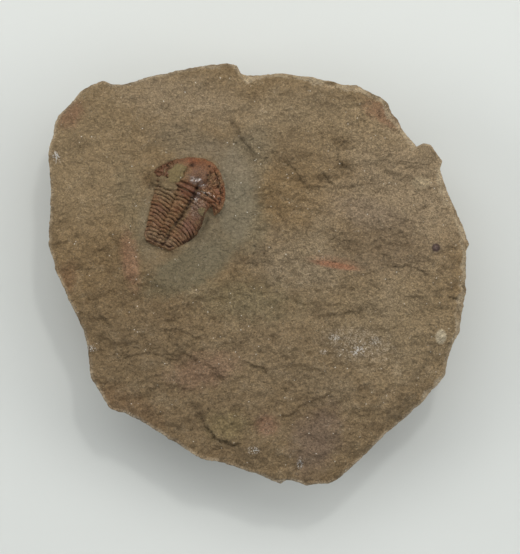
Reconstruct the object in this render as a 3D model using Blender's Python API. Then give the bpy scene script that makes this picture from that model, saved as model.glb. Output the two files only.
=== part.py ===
# Trilobite fossil in a broken slab of layered siltstone.
# Metres, +Z up. The slab lies on its flat underside; the origin is the centre of its footprint.
# Lengths below are in millimetres and are scaled once, when a mesh is made.
import math

import bpy
from mathutils import Matrix, Vector, noise
from mathutils.geometry import delaunay_2d_cdt

MILLIMETRE = 0.001

# slab
SLAB_TOP = 24.0            # general level of the upper face
SLAB_STEP = 2.3            # spacing of the points along the broken edge
TOP_SPACING = 3.3          # spacing of the points over the upper face
LEAN_DIRECTION = 35.0      # degrees from +X: the side whose broken rim shows from above
RIM_INSET = 1.7            # how far the upper edge stands back on that side
FOOT_INSET = 9.0           # how far the flat underside stands back from the widest outline
HOLLOW_DEPTH = 0.8         # the scraped hollow around the fossil
HOLLOW_CENTRE = (-15.5, 15.5)
HOLLOW_RADII = (15.0, 21.0)
HOLLOW_TURN = -24.0

# fossil
FOSSIL_CENTRE = (-19.5, 17.3)
FOSSIL_HEADING = 24.3      # degrees clockwise from +Y to the head
FOSSIL_BURIED = 1.0        # how far the body reaches below the level of its socket's mouth
SOCKET_GAP = 0.36          # clearance of the socket, all round and below
SEGMENTS = 13              # rings of the thorax
THORAX_FRONT = 4.0         # along the body, from its middle
THORAX_LENGTH = 13.0
RIB_RELIEF = 0.42
GLABELLA_CENTRE = (8.3, 0.5)
GLABELLA_RADII = (3.2, 2.9)

SLAB_CORNERS = (
    (-52.75, 30.5), (-50.5, 39.5), (-47.5, 42.5), (-44.5, 46.0), (-42.0, 47.5), (-39.0, 48.5),
    (-36.5, 47.5), (-34.0, 47.5), (-25.5, 50.0), (-16.0, 52.0), (-8.0, 53.0), (-5.5, 52.5),
    (-4.5, 50.5), (-2.5, 50.0), (5.0, 50.5), (13.5, 49.5), (21.0, 47.5), (24.5, 47.5),
    (30.5, 44.5), (32.5, 43.0), (33.5, 40.5), (35.0, 39.0), (36.0, 36.5), (39.5, 32.0),
    (41.0, 33.0), (43.0, 32.5), (46.0, 28.5), (45.5, 26.5), (47.0, 21.5), (51.0, 12.5),
    (52.75, 7.5), (52.0, 6.0), (52.0, -4.0), (50.5, -14.5), (48.0, -19.5), (47.0, -25.0),
    (45.0, -28.0), (37.5, -35.5), (30.5, -41.5), (20.0, -51.5), (17.5, -52.5), (12.0, -53.0),
    (9.5, -52.0), (7.0, -51.5), (5.5, -52.5), (1.0, -50.5), (-9.0, -47.5), (-15.0, -46.0),
    (-30.0, -36.5), (-37.5, -33.5), (-42.0, -26.0), (-43.0, -18.5), (-44.0, -14.0),
    (-48.5, -4.5), (-51.0, 1.0), (-52.75, 7.5), (-52.0, 20.0),
)

# the side of the slab from its upper edge down, two rows to a bed:
# (share of the height, undercut, wobble of the break, bed)
SLAB_LAYERS = (
    (0.965, 0.0, 0.0, 0), (0.88, 0.4, 0.5, 1), (0.85, 1.6, 0.7, 1), (0.70, 1.6, 0.9, 2),
    (0.66, 3.0, 1.0, 2), (0.48, 3.0, 1.5, 3), (0.44, 4.6, 1.4, 3), (0.25, 5.2, 1.8, 4),
    (0.09, 7.4, 1.5, 4),
)

# margin of the fossil, (along the body, across it), clockwise from the front of the head
FOSSIL_MARGIN = (
    (13.1, 1.6), (12.7, 3.4), (11.3, 5.4), (9.5, 7.3), (7.4, 8.9), (5.2, 9.6), (3.4, 9.4),
    (1.9, 8.8), (0.5, 8.3), (1.6, 7.8), (2.9, 7.3), (2.6, 6.4), (1.0, 5.8), (-1.0, 5.6),
    (-3.0, 6.4), (-4.8, 6.4), (-7.0, 5.5), (-9.2, 4.8), (-10.6, 3.2), (-11.4, 1.0),
    (-11.5, -2.2), (-10.9, -4.6), (-9.3, -5.6), (-6.0, -6.3), (-3.0, -7.2), (0.2, -7.6),
    (1.2, -8.1), (1.6, -9.4), (3.0, -10.2), (5.2, -9.7), (7.4, -8.2), (9.6, -5.9),
    (11.4, -3.2), (12.7, -0.6),
)


def clearScene():
    for item in list(bpy.data.objects):
        bpy.data.objects.remove(item, do_unlink=True)


def makeMaterial(name, colour, roughness):
    material = bpy.data.materials.new(name)
    material.use_nodes = True
    shader = material.node_tree.nodes["Principled BSDF"]
    shader.inputs["Base Color"].default_value = (*colour, 1.0)
    shader.inputs["Roughness"].default_value = roughness
    shader.inputs["Metallic"].default_value = 0.0
    material.diffuse_color = (*colour, 1.0)
    return material


# a smooth step from 0 at low to 1 at high, either way round
def rise(low, high, value):
    share = min(max((value - low) / (high - low), 0.0), 1.0)
    return share * share * (3.0 - 2.0 * share)


# a smooth bump of height 1 around zero offset
def hump(offset, width):
    return math.exp(-(offset / width) ** 2)


def fractal(x, y, z, octaves):
    return noise.fractal(Vector((x, y, z)), 0.8, 2.1, octaves, noise_basis="PERLIN_ORIGINAL")


# walks a closed chain of straight breaks and roughens them between the corners
def brokenOutline(corners, step):
    points = []
    for index, start in enumerate(corners):
        end = corners[(index + 1) % len(corners)]
        a = Vector(start)
        b = Vector(end)
        pieces = max(1, round((b - a).length / step))
        across = Vector((a.y - b.y, b.x - a.x)).normalized()
        for piece in range(pieces):
            share = piece / pieces
            spot = a.lerp(b, share)
            jag = 0.45 * fractal(spot.x / 3.1, spot.y / 3.1, 4.0, 2) * math.sin(math.pi * share)
            points.append(spot + across * jag)
    return points


# a smooth closed curve through the given points, resampled at even steps
def smoothOutline(corners, step):
    count = len(corners)
    fine = []
    for index in range(count):
        p0, p1, p2, p3 = (Vector(corners[(index + k - 1) % count]) for k in range(4))
        for part in range(12):
            s = part / 12
            fine.append(0.5 * (2 * p1 + (p2 - p0) * s + (2 * p0 - 5 * p1 + 4 * p2 - p3) * s * s
                               + (3 * p1 - p0 - 3 * p2 + p3) * s ** 3))
    lengths = [0.0]
    for index in range(len(fine)):
        lengths.append(lengths[-1] + (fine[(index + 1) % len(fine)] - fine[index]).length)
    total = round(lengths[-1] / step)
    points = []
    place = 0
    for index in range(total):
        target = lengths[-1] * index / total
        while lengths[place + 1] < target:
            place += 1
        share = (target - lengths[place]) / (lengths[place + 1] - lengths[place])
        points.append(fine[place].lerp(fine[(place + 1) % len(fine)], share))
    return points


def edgeDistance(point, ring):
    best = 1e9
    for index, a in enumerate(ring):
        b = ring[(index + 1) % len(ring)]
        run = b - a
        share = min(max((point - a).dot(run) / run.length_squared, 0.0), 1.0)
        best = min(best, (a + run * share - point).length)
    return best


def isInside(point, ring):
    inside = False
    for index, a in enumerate(ring):
        b = ring[(index + 1) % len(ring)]
        if (a.y > point.y) != (b.y > point.y):
            crossing = a.x + (point.y - a.y) * (b.x - a.x) / (b.y - a.y)
            if point.x < crossing:
                inside = not inside
    return inside


# moves a closed outline outward, rounds its sharp corners and drops what folds back on itself
def widened(ring, distance):
    hand = 1.0 if isCounterClockwise(ring) else -1.0
    points = []
    for index, spot in enumerate(ring):
        before = spot - ring[index - 1]
        after = ring[(index + 1) % len(ring)] - spot
        first = math.atan2(-before.x * hand, before.y * hand)
        turn = math.atan2(before.cross(after), before.dot(after))
        pieces = 1 + int(max(turn * hand, 0.0) / 0.45)
        for piece in range(pieces):
            angle = first + turn * (piece + 0.5) / pieces
            moved = spot + Vector((math.cos(angle), math.sin(angle))) * distance
            if edgeDistance(moved, ring) > distance - 0.02:
                points.append(moved)
    return points


def scattered(ring, spacing, clearance):
    points = []
    low = Vector((min(p.x for p in ring), min(p.y for p in ring)))
    high = Vector((max(p.x for p in ring), max(p.y for p in ring)))
    rows = int((high.y - low.y) / (spacing * 0.866)) + 1
    columns = int((high.x - low.x) / spacing) + 2
    for row in range(rows):
        for column in range(columns):
            x = low.x + (column + 0.5 * (row % 2)) * spacing
            y = low.y + row * spacing * 0.866
            x += 0.22 * spacing * noise.noise(Vector((x * 1.7, y * 1.7, 2.0)))
            y += 0.22 * spacing * noise.noise(Vector((x * 1.7, y * 1.7, 9.0)))
            spot = Vector((x, y))
            if isInside(spot, ring) and edgeDistance(spot, ring) > clearance:
                points.append(spot)
    return points


# triangles between closed rings and loose points; the first ring is the outer one
def fill(rings, loose):
    flat = [p for ring in rings for p in ring] + list(loose)
    edges = []
    first = 0
    for ring in rings:
        edges += [(first + k, first + (k + 1) % len(ring)) for k in range(len(ring))]
        first += len(ring)
    result = delaunay_2d_cdt([Vector((p.x, p.y)) for p in flat], edges, [], 0, 1e-7)
    spots = result[0]
    origin = [sources[0] for sources in result[3]]
    triangles = []
    for face in result[2]:
        middle = (spots[face[0]] + spots[face[1]] + spots[face[2]]) / 3
        kept = isInside(middle, rings[0]) and not any(isInside(middle, hole) for hole in rings[1:])
        if kept:
            triangles.append(tuple(origin[corner] for corner in face))
    return triangles


def addFaces(faces, triangles, indices, upward, flat):
    for a, b, c in triangles:
        p, q, r = flat[a], flat[b], flat[c]
        turn = (q.x - p.x) * (r.y - p.y) - (q.y - p.y) * (r.x - p.x)
        ordered = (a, b, c) if (turn > 0) == upward else (a, c, b)
        faces.append(tuple(indices[corner] for corner in ordered))


def addBand(faces, upper, lower):
    count = len(upper)
    for k in range(count):
        n = (k + 1) % count
        faces.append((upper[k], lower[k], lower[n]))
        faces.append((upper[k], lower[n], upper[n]))


def isCounterClockwise(ring):
    area = sum(p.x * ring[(k + 1) % len(ring)].y - ring[(k + 1) % len(ring)].x * p.y
               for k, p in enumerate(ring))
    return area > 0


def makeObject(name, points, faces, material, origin):
    mesh = bpy.data.meshes.new(name)
    shifted = [tuple((Vector(p) - Vector(origin)) * MILLIMETRE) for p in points]
    mesh.from_pydata(shifted, [], faces)
    mesh.update()
    mesh.materials.append(material)
    mesh.polygons.foreach_set("use_smooth", [True] * len(mesh.polygons))
    item = bpy.data.objects.new(name, mesh)
    item.location = Vector(origin) * MILLIMETRE
    bpy.context.scene.collection.objects.link(item)
    return item


def toBody(x, y):
    turn = math.radians(FOSSIL_HEADING)
    dx = x - FOSSIL_CENTRE[0]
    dy = y - FOSSIL_CENTRE[1]
    return dx * math.sin(turn) + dy * math.cos(turn), dx * math.cos(turn) - dy * math.sin(turn)


def toSlab(along, across):
    turn = math.radians(FOSSIL_HEADING)
    x = FOSSIL_CENTRE[0] + along * math.sin(turn) + across * math.cos(turn)
    y = FOSSIL_CENTRE[1] + along * math.cos(turn) - across * math.sin(turn)
    return Vector((x, y))


# the scraped hollow: an oval, deepest beside the fossil
def hollow(x, y):
    turned = Vector((x - HOLLOW_CENTRE[0], y - HOLLOW_CENTRE[1]))
    turned.rotate(Matrix.Rotation(math.radians(-HOLLOW_TURN), 2))
    reach = math.hypot(turned.x / HOLLOW_RADII[0], turned.y / HOLLOW_RADII[1])
    return HOLLOW_DEPTH * (1.0 - rise(0.45, 1.0, reach))


# a low break of the bedding along a straight run: one side lies lower than the other
def ledge(x, y, start, end, drop, width):
    a = Vector(start)
    run = Vector(end) - a
    here = Vector((x, y)) - a
    along = here.dot(run) / run.length_squared
    side = here.cross(run) / run.length
    fade = rise(-0.25, 0.1, along) * (1.0 - rise(0.9, 1.25, along))
    return drop * fade * rise(-0.4, 0.4, side) * (1.0 - rise(width * 0.3, width, side))


# the upper face rounds off at its edge, most along the lower right where it was knocked away
def edgeFall(x, y, edge):
    facing = math.atan2(y, x)
    bevel = hump(facing + 0.72, 0.5)
    return 0.7 * (1.0 - rise(0.0, 3.5, edge)) + 1.7 * bevel * (1.0 - rise(0.5, 6.0, edge))


def slabHeight(x, y, edge):
    height = SLAB_TOP + 0.9 * fractal(x / 31.0, y / 24.0, 1.5, 3)
    height += 0.35 * fractal(x / 7.0 + y / 20.0, y / 4.0, 6.0, 3)
    height -= edgeFall(x, y, edge) + hollow(x, y)
    height -= ledge(x, y, (-6.0, 38.5), (-0.5, 31.5), 0.8, 9.0)
    height -= ledge(x, y, (-3.5, -42.5), (-15.5, -36.0), 1.0, 10.0)
    height -= ledge(x, y, (31.5, 2.4), (41.0, 1.6), 0.6, 8.0)
    height -= ledge(x, y, (6.0, -35.5), (18.5, -27.0), 0.6, 8.0)
    height -= ledge(x, y, (-42.0, -12.0), (-40.0, -2.0), 0.6, 7.0)
    return height


# how far a point of the outline stands back at a given layer
def layerInset(spot, share, undercut, wobble):
    facing = math.atan2(spot.y, spot.x) - math.radians(LEAN_DIRECTION)
    lean = 0.5 + 0.5 * math.cos(facing)
    grain = abs(noise.noise(Vector((spot.x / 8.0, spot.y / 8.0, share * 23.0)))) * wobble * 2.2
    return undercut * (1.25 - 0.75 * lean) + grain


def slabRing(outline, inset):
    return [p * (1.0 - inset(p) / p.length) for p in outline]


def rimInset(spot):
    facing = math.atan2(spot.y, spot.x) - math.radians(LEAN_DIRECTION)
    lean = rise(-0.1, 0.9, math.cos(facing))
    patchy = 0.6 + 0.8 * abs(noise.noise(Vector((spot.x / 6.0, spot.y / 6.0, 3.0))))
    return 0.25 + RIM_INSET * lean * patchy


def footInset(spot):
    return FOOT_INSET + 3.0 * noise.noise(Vector((spot.x / 16.0, spot.y / 16.0, 8.0)))


def makeSlab(material, margin):
    outline = brokenOutline(SLAB_CORNERS, SLAB_STEP)
    if not isCounterClockwise(outline):
        outline.reverse()
    socket = widened(margin, SOCKET_GAP)
    if not isCounterClockwise(socket):
        socket.reverse()
    rim = slabRing(outline, rimInset)
    coarse = [p for p in scattered(rim, TOP_SPACING, 1.3)
              if not isInside(p, socket) and edgeDistance(p, socket) > 4.6]
    near = [p for p in scattered(widened(socket, 4.2), 1.35, 0.1)
            if not isInside(p, socket) and edgeDistance(p, socket) > 0.9]
    loose = coarse + near
    flat = rim + socket + loose
    points = [(p.x, p.y, slabHeight(p.x, p.y, edgeDistance(p, outline))) for p in flat]
    faces = []
    addFaces(faces, fill([rim, socket], loose), range(len(flat)), True, flat)

    above = list(range(len(rim)))
    levels = [points[k][2] for k in above]
    for share, undercut, wobble, bed in SLAB_LAYERS:
        ring = slabRing(outline, lambda p: layerInset(p, share, undercut, wobble))
        start = len(points)
        for p, level in zip(ring, levels):
            tilt = 2.2 * noise.noise(Vector((p.x / 13.0, p.y / 13.0, bed * 5.3))) if bed else 0.0
            points.append((p.x, p.y, level * share + tilt))
        below = list(range(start, len(points)))
        addBand(faces, above, below)
        above = below
    foot = slabRing(outline, footInset)
    start = len(points)
    underside = foot + scattered(foot, 9.0, 4.0)
    points += [(p.x, p.y, 0.0) for p in underside]
    below = list(range(start, start + len(foot)))
    addBand(faces, above, below)
    triangles = fill([foot], underside[len(foot):])
    addFaces(faces, triangles, range(start, len(points)), False, underside)

    mouth = list(range(len(rim), len(rim) + len(socket)))
    floorLevel = socketFloor()
    start = len(points)
    bed = socket + scattered(socket, 3.0, 1.2)
    points += [(p.x, p.y, floorLevel) for p in bed]
    addBand(faces, list(range(start, start + len(socket))), mouth)
    addFaces(faces, fill([socket], bed[len(socket):]), range(start, len(points)), True, bed)
    return makeObject("rock_matrix", points, faces, material, (0.0, 0.0, 0.0))


def mouthLevel():
    return SLAB_TOP - HOLLOW_DEPTH


def socketFloor():
    return mouthLevel() - FOSSIL_BURIED - SOCKET_GAP


# the middle line of the body leans a little to its right toward the head
def axisLine(along):
    return -1.375 + 0.09 * (along + 11.0)


def axisHalfWidth(along):
    if along > -3.5:
        return 1.35 + (along + 3.5) * 0.165
    return 1.35 + (along + 3.5) * 0.07


# counts the rings of the thorax: 0 at its front, SEGMENTS at its back
def ringCount(along, across):
    beside = abs(across - axisLine(along))
    swept = along + 0.035 * max(beside - 1.2, 0.0) ** 2
    if beside < axisHalfWidth(along):
        swept = along - 0.25 * (1.0 - (beside / axisHalfWidth(along)) ** 2)
    share = (THORAX_FRONT - swept) / THORAX_LENGTH
    return SEGMENTS * (0.86 * share + 0.14 * share * abs(share))


def headEdge(along, across):
    beside = across - axisLine(along)
    return THORAX_FRONT - (0.02 if beside > 0 else 0.028) * beside * beside


def headRelief(along, across, edge):
    height = 1.7 * (1.0 - (1.0 - min(edge, 4.0) / 4.0) ** 2)
    height += 0.28 * hump(edge - 0.45, 0.4) - 0.26 * hump(edge - 1.35, 0.45)
    reach = math.hypot((along - GLABELLA_CENTRE[0]) / GLABELLA_RADII[0],
                       (across - GLABELLA_CENTRE[1]) / GLABELLA_RADII[1])
    height -= 0.3 * hump(reach - 1.08, 0.13)
    if reach < 1.0:
        height += 1.0 * (1.0 - reach ** 2.6) ** 0.6
    beside = abs(across - axisLine(along))
    back = along - headEdge(along, across)
    inside = 1.0 - rise(2.4, 2.9, beside)
    height += 0.55 * hump(back - 0.75, 0.62) * (0.55 + 0.45 * inside)
    height -= 0.4 * hump(back - 1.6, 0.3) * (1.0 - rise(7.0, 9.0, beside))
    height += 0.4 * hump(math.hypot((along - 7.4) * 0.7, beside - 5.3), 0.6)
    return height


def bodyRelief(along, across, edge):
    beside = abs(across - axisLine(along))
    half = axisHalfWidth(along)
    taper = 0.55 + 0.45 * rise(-11.0, 3.0, along)
    height = 1.75 * taper * (1.0 - (1.0 - min(edge, 3.0) / 3.0) ** 2)
    if beside < half:
        height += 0.85 * taper * math.sqrt(1.0 - (beside / half) ** 2)
    height -= 0.22 * hump(beside - half, 0.3)
    count = ringCount(along, across)
    part = count - math.floor(count)
    fade = rise(0.15, 0.7, edge)
    relief = RIB_RELIEF if count < SEGMENTS else 0.5 * RIB_RELIEF
    height += relief * fade * (0.5 - abs(2.0 * part - 1.0) ** 2.2)
    height += 0.25 * hump(edge - 0.5, 0.3) * rise(-9.0, -10.5, along)
    return height


def fossilHeight(spot, margin):
    along, across = spot
    edge = edgeDistance(Vector(spot), margin)
    blend = rise(-0.15, 0.15, along - headEdge(along, across))
    head = headRelief(along, across, edge) if blend > 0.0 else 0.0
    body = bodyRelief(along, across, edge) if blend < 1.0 else 0.0
    groove = 0.45 * hump(along - headEdge(along, across), 0.3) * rise(0.2, 1.0, edge)
    return head * blend + body * (1.0 - blend) - groove + 0.15


# rows that follow the crests and furrows of the rings
def ringRows(margin):
    points = []
    step = 0.25
    for row in range(int((SEGMENTS + 3.4) / step)):
        count = row * step
        for column in range(-20, 19):
            across = column * 0.42
            along = THORAX_FRONT - count * THORAX_LENGTH / SEGMENTS
            for attempt in range(6):
                along += (ringCount(along, across) - count) * THORAX_LENGTH / SEGMENTS
            spot = Vector((along, across))
            if along > headEdge(along, across) - 0.1:
                continue
            if isInside(spot, margin) and edgeDistance(spot, margin) > 0.28:
                points.append(spot)
    return points


def headRows(margin):
    points = []
    for row in range(35):
        for column in range(-25, 25):
            along = 0.6 + row * 0.37
            across = column * 0.42 + 0.21 * (row % 2)
            spot = Vector((along, across))
            if along < headEdge(along, across) + 0.1:
                continue
            if isInside(spot, margin) and edgeDistance(spot, margin) > 0.28:
                points.append(spot)
    return points


def makeFossil(material, margin):
    ring = smoothOutline(FOSSIL_MARGIN, 0.55)
    loose = ringRows(ring) + headRows(ring)
    local = ring + loose
    level = mouthLevel()
    flat = [toSlab(p.x, p.y) for p in local]
    points = [(q.x, q.y, level + fossilHeight(p, ring)) for p, q in zip(local, flat)]
    faces = []
    triangles = fill([ring], loose)
    addFaces(faces, triangles, range(len(flat)), True, flat)
    start = len(points)
    foot = flat[:len(ring)]
    base = foot + scattered(foot, 3.0, 1.2)
    points += [(q.x, q.y, level - FOSSIL_BURIED) for q in base]
    upper = list(range(len(ring)))
    lower = list(range(start, start + len(ring)))
    if isCounterClockwise(foot):
        addBand(faces, upper, lower)
    else:
        addBand(faces, upper[::-1], lower[::-1])
    addFaces(faces, fill([foot], base[len(ring):]), range(start, len(points)), False, base)
    return makeObject("trilobite", points, faces, material, (*FOSSIL_CENTRE, level))


def build():
    clearScene()
    stone = makeMaterial("siltstone", (0.18, 0.127, 0.075), 0.93)
    shell = makeMaterial("fossil_shell", (0.15, 0.062, 0.034), 0.5)
    margin = [toSlab(p.x, p.y) for p in smoothOutline(FOSSIL_MARGIN, 0.55)]
    makeSlab(stone, margin)
    makeFossil(shell, margin)


build()
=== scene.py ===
import math

import bpy
import numpy as np
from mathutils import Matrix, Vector, noise
from mathutils.bvhtree import BVHTree
from mathutils.geometry import delaunay_2d_cdt


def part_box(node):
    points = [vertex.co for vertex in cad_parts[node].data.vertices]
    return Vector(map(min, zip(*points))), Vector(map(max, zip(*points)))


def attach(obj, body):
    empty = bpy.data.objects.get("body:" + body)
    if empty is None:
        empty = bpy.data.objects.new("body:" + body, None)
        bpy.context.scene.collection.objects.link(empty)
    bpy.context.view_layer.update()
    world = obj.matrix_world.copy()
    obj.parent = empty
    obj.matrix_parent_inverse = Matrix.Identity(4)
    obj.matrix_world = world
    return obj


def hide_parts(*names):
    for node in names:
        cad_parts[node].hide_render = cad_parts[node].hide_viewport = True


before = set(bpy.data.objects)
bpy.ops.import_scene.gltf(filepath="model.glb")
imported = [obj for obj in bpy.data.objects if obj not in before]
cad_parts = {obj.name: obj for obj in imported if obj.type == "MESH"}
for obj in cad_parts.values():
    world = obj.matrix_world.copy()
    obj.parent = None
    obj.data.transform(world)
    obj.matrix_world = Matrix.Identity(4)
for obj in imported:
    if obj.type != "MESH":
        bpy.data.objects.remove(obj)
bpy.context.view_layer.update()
mm = 0.001  # the sizes of the stone and the shell are in millimetres


def smoothRise(low, high, value):
    share = np.clip((value - low) / (high - low), 0.0, 1.0)
    return share * share * (3.0 - 2.0 * share)


def hump(offset, width):
    return np.exp(-(offset / width) ** 2)


# a noise of three coordinates, worked out for whole arrays of points
def sampled(pattern, x, y, z):
    x, y, z = np.broadcast_arrays(x, y, z)
    spots = zip(x.ravel().tolist(), y.ravel().tolist(), z.ravel().tolist())
    return np.array([pattern(Vector(spot)) for spot in spots]).reshape(x.shape)


def fractalAt(x, y, z, octaves=3):
    def pattern(spot):
        return noise.fractal(spot, 0.8, 2.1, octaves, noise_basis="PERLIN_ORIGINAL")
    return sampled(pattern, x, y, z)


# the same noise with patches of about one size
def cloudAt(x, y, size, seed, octaves=3):
    return fractalAt(x / size, y / size, seed, octaves)


def ridgesAt(x, y, z):
    def pattern(spot):
        return noise.ridged_multi_fractal(spot, 0.9, 2.1, 2, 1.0, 2.0)
    return sampled(pattern, x, y, z)


def polar(radius, angles):
    return np.column_stack([radius * np.cos(angles), radius * np.sin(angles)])


# distance from many points to a closed ring, and whether they lie inside it
def ringDistance(points, ring):
    best = np.full(len(points), 1e9)
    inside = np.zeros(len(points), bool)
    px, py = points[:, 0], points[:, 1]
    for (ax, ay), (bx, by) in zip(ring, np.roll(ring, -1, axis=0)):
        dx, dy = bx - ax, by - ay
        share = np.clip(((px - ax) * dx + (py - ay) * dy) / (dx * dx + dy * dy), 0.0, 1.0)
        best = np.minimum(best, np.hypot(ax + share * dx - px, ay + share * dy - py))
        if ay != by:
            inside ^= ((ay > py) != (by > py)) & (px < ax + (py - ay) * dx / dy)
    return best, inside


# staggered points with a little scatter
def scatterGrid(low, high, spacing, seed):
    rows = np.arange(low[1], high[1], spacing * 0.866)
    columns = np.arange(low[0], high[0], spacing)
    x, y = np.meshgrid(columns, rows)
    x = x + 0.5 * spacing * (np.arange(len(rows)) % 2)[:, None]
    jitter = np.random.default_rng(seed).uniform(-0.16, 0.16, (2,) + x.shape) * spacing
    return np.column_stack([(x + jitter[0]).ravel(), (y + jitter[1]).ravel()])


# triangles between a closed outer ring and loose points inside it, all facing up
def fillRing(ring, loose):
    flat = np.vstack([ring, loose]) if len(loose) else ring
    count = len(ring)
    edges = [(k, (k + 1) % count) for k in range(count)]
    spots, _, faces, sources, _, _ = delaunay_2d_cdt([Vector(p) for p in flat.tolist()], edges, [], 1, 1e-7)
    origin = np.array([s[0] for s in sources])
    triangles = origin[np.array(faces)]
    a, b, c = (flat[triangles[:, k]] for k in range(3))
    turn = (b[:, 0] - a[:, 0]) * (c[:, 1] - a[:, 1]) - (b[:, 1] - a[:, 1]) * (c[:, 0] - a[:, 0])
    triangles[turn < 0] = triangles[turn < 0][:, ::-1]
    return triangles


# smooth closed curve through a few given points, at even steps
def smoothRing(corners, step):
    p = np.array(corners, float)
    s = np.linspace(0.0, 1.0, 24, endpoint=False)[:, None]
    parts = []
    for k in range(len(p)):
        a, b, c, d = (p[(k + j - 1) % len(p)] for j in range(4))
        parts.append(0.5 * (2 * b + (c - a) * s + (2 * a - 5 * b + 4 * c - d) * s ** 2
                            + (3 * b - a - 3 * c + d) * s ** 3))
    fine = np.vstack(parts)
    closed = np.vstack([fine, fine[:1]])
    run = np.concatenate([[0.0], np.cumsum(np.hypot(*np.diff(closed, axis=0).T))])
    places = np.linspace(0.0, run[-1], int(round(run[-1] / step)), endpoint=False)
    return np.column_stack([np.interp(places, run, closed[:, k]) for k in range(2)])


def addObject(name, data):
    item = bpy.data.objects.new(name, data)
    bpy.context.scene.collection.objects.link(item)
    return item


def makeMesh(name, points, triangles, corners, attributes, material):
    mesh = bpy.data.meshes.new(name)
    mesh.vertices.add(len(points))
    mesh.vertices.foreach_set("co", (points * mm).astype(np.float32).ravel())
    mesh.loops.add(triangles.size)
    mesh.loops.foreach_set("vertex_index", triangles.astype(np.int32).ravel())
    mesh.polygons.add(len(triangles))
    mesh.polygons.foreach_set("loop_start", np.arange(0, triangles.size, 3, dtype=np.int32))
    mesh.polygons.foreach_set("use_smooth", np.ones(len(triangles), bool))
    mesh.update(calc_edges=True)
    layer = mesh.uv_layers.new(name="OFBake")
    layer.data.foreach_set("uv", corners.astype(np.float32).ravel())
    for key, values in attributes.items():
        mesh.attributes.new(key, "FLOAT", "POINT").data.foreach_set("value", values.astype(np.float32))
    mesh.validate()
    mesh.materials.append(material)
    return addObject(name, mesh)


shell = {
    "centre": (-19.5, 17.3), "heading": 24.3, "buried": 1.0, "lift": 0.15,
    "grid": 0.115, "edgeStep": 0.16,
    "segments": 13, "thoraxFront": 4.0, "thoraxLength": 13.0, "ribRelief": 0.60,
    "glabella": (9.0, 0.55), "glabellaSize": (4.0, 3.1), "glabellaRise": 0.85,
    "grainRelief": 0.05,
}
# margin, (along the body, across it), clockwise from the front of the head
shellMargin = (
    (13.1, 1.6), (12.8, 3.5), (11.7, 5.3), (10.0, 7.1), (7.8, 8.7), (5.6, 9.6), (3.7, 9.8),
    (2.4, 9.4), (1.0, 8.6), (2.1, 7.9), (2.8, 7.3), (2.4, 6.8), (1.2, 6.5), (-0.5, 6.6),
    (-2.5, 6.8), (-4.6, 6.7), (-6.2, 6.2), (-7.8, 5.3), (-9.4, 4.1), (-10.8, 3.0), (-11.6, 1.8),
    (-11.8, -0.8), (-11.7, -3.9), (-11.1, -5.2), (-9.6, -5.8), (-7.2, -6.2), (-4.6, -6.8),
    (-2.0, -7.3), (0.2, -7.6), (1.4, -8.2), (1.9, -9.4), (3.2, -10.1), (5.3, -9.8), (7.4, -8.6),
    (9.5, -6.7), (11.2, -4.3), (12.4, -2.0), (13.0, 0.0),
)
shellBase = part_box("trilobite")[0].z / mm
mouthLevel = shellBase + shell["buried"]
heading = math.radians(shell["heading"])


def toBody(x, y):
    dx, dy = x - shell["centre"][0], y - shell["centre"][1]
    return dx * math.sin(heading) + dy * math.cos(heading), dx * math.cos(heading) - dy * math.sin(heading)


def toSlab(along, across):
    x = shell["centre"][0] + along * math.sin(heading) + across * math.cos(heading)
    y = shell["centre"][1] + along * math.cos(heading) - across * math.sin(heading)
    return np.column_stack([x, y])


def raggedMargin():
    ring = smoothRing(shellMargin, shell["edgeStep"])
    outward = np.roll(ring, 1, axis=0) - np.roll(ring, -1, axis=0)
    outward = np.column_stack([-outward[:, 1], outward[:, 0]]) / np.hypot(*outward.T)[:, None]
    shift = 0.16 * cloudAt(*ring.T, 1.1, 4.0)
    return ring + outward * shift[:, None]


marginRing = raggedMargin()


def axisLine(along):
    return -0.35 + 0.075 * np.minimum(along, 1.0) + 0.10 * np.minimum(along + 3.0, 0.0) * (along > -8.0)


def axisHalfWidth(along):
    return 0.72 + 1.0 * smoothRise(-12.0, 4.5, along)


# where the furrow of a ring runs beside the axis: forward first, then swept back
def pleuraSweep(along, beside, out):
    middle = hump(along + 3.5, 4.5)
    bend = 0.035 + 0.05 * middle + 0.07 * smoothRise(-5.0, -10.0, along)
    left = (0.14 + 0.36 * middle) * out - bend * out ** 2
    right = (0.28 - 0.12 * smoothRise(-2.0, 3.0, along)) * out - 0.10 * out ** 2
    return np.where(beside < 0, left, right)


# counts the rings of the thorax; whole numbers are the furrows
def ringCount(along, across):
    beside = across - axisLine(along)
    half = axisHalfWidth(along)
    out = np.maximum(np.abs(beside) - half, 0.0)
    swept = along + 0.05 * beside - pleuraSweep(along, beside, out)
    swept = swept - 0.26 * (1.0 - np.minimum(np.abs(beside) / half, 1.0) ** 2)
    share = (shell["thoraxFront"] - swept) / shell["thoraxLength"]
    wander = 0.20 * fractalAt(along * 0.45, across * 0.45, 17.0, 2)
    wander += 0.12 * fractalAt(along * 1.3, across * 1.3, 18.0, 2)
    return shell["segments"] * (0.86 * share + 0.14 * share * np.abs(share)) + wander


def headEdge(along, across):
    beside = across - axisLine(along)
    return shell["thoraxFront"] - 0.03 * beside - np.where(beside > 0, 0.0125, 0.026) * beside ** 2


# narrow crest, wider furrow
def ribProfile(count):
    part = count - np.floor(count)
    return 0.55 - np.abs(2.0 * part - 1.0) ** 1.8


# every rib a little higher or lower than the next, and worn in patches
def ribStrength(count, along, across):
    side = np.where(across < axisLine(along), 0.0, 40.0)
    step = 0.28 * np.sin(2.3 * np.floor(count) + side) * np.cos(1.1 * np.floor(count) + 0.7 * side)
    patches = 0.85 * fractalAt(along * 0.6, across * 0.45, 23.0, 3)
    return np.clip(1.0 + step + patches, 0.3, 1.6)


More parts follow.
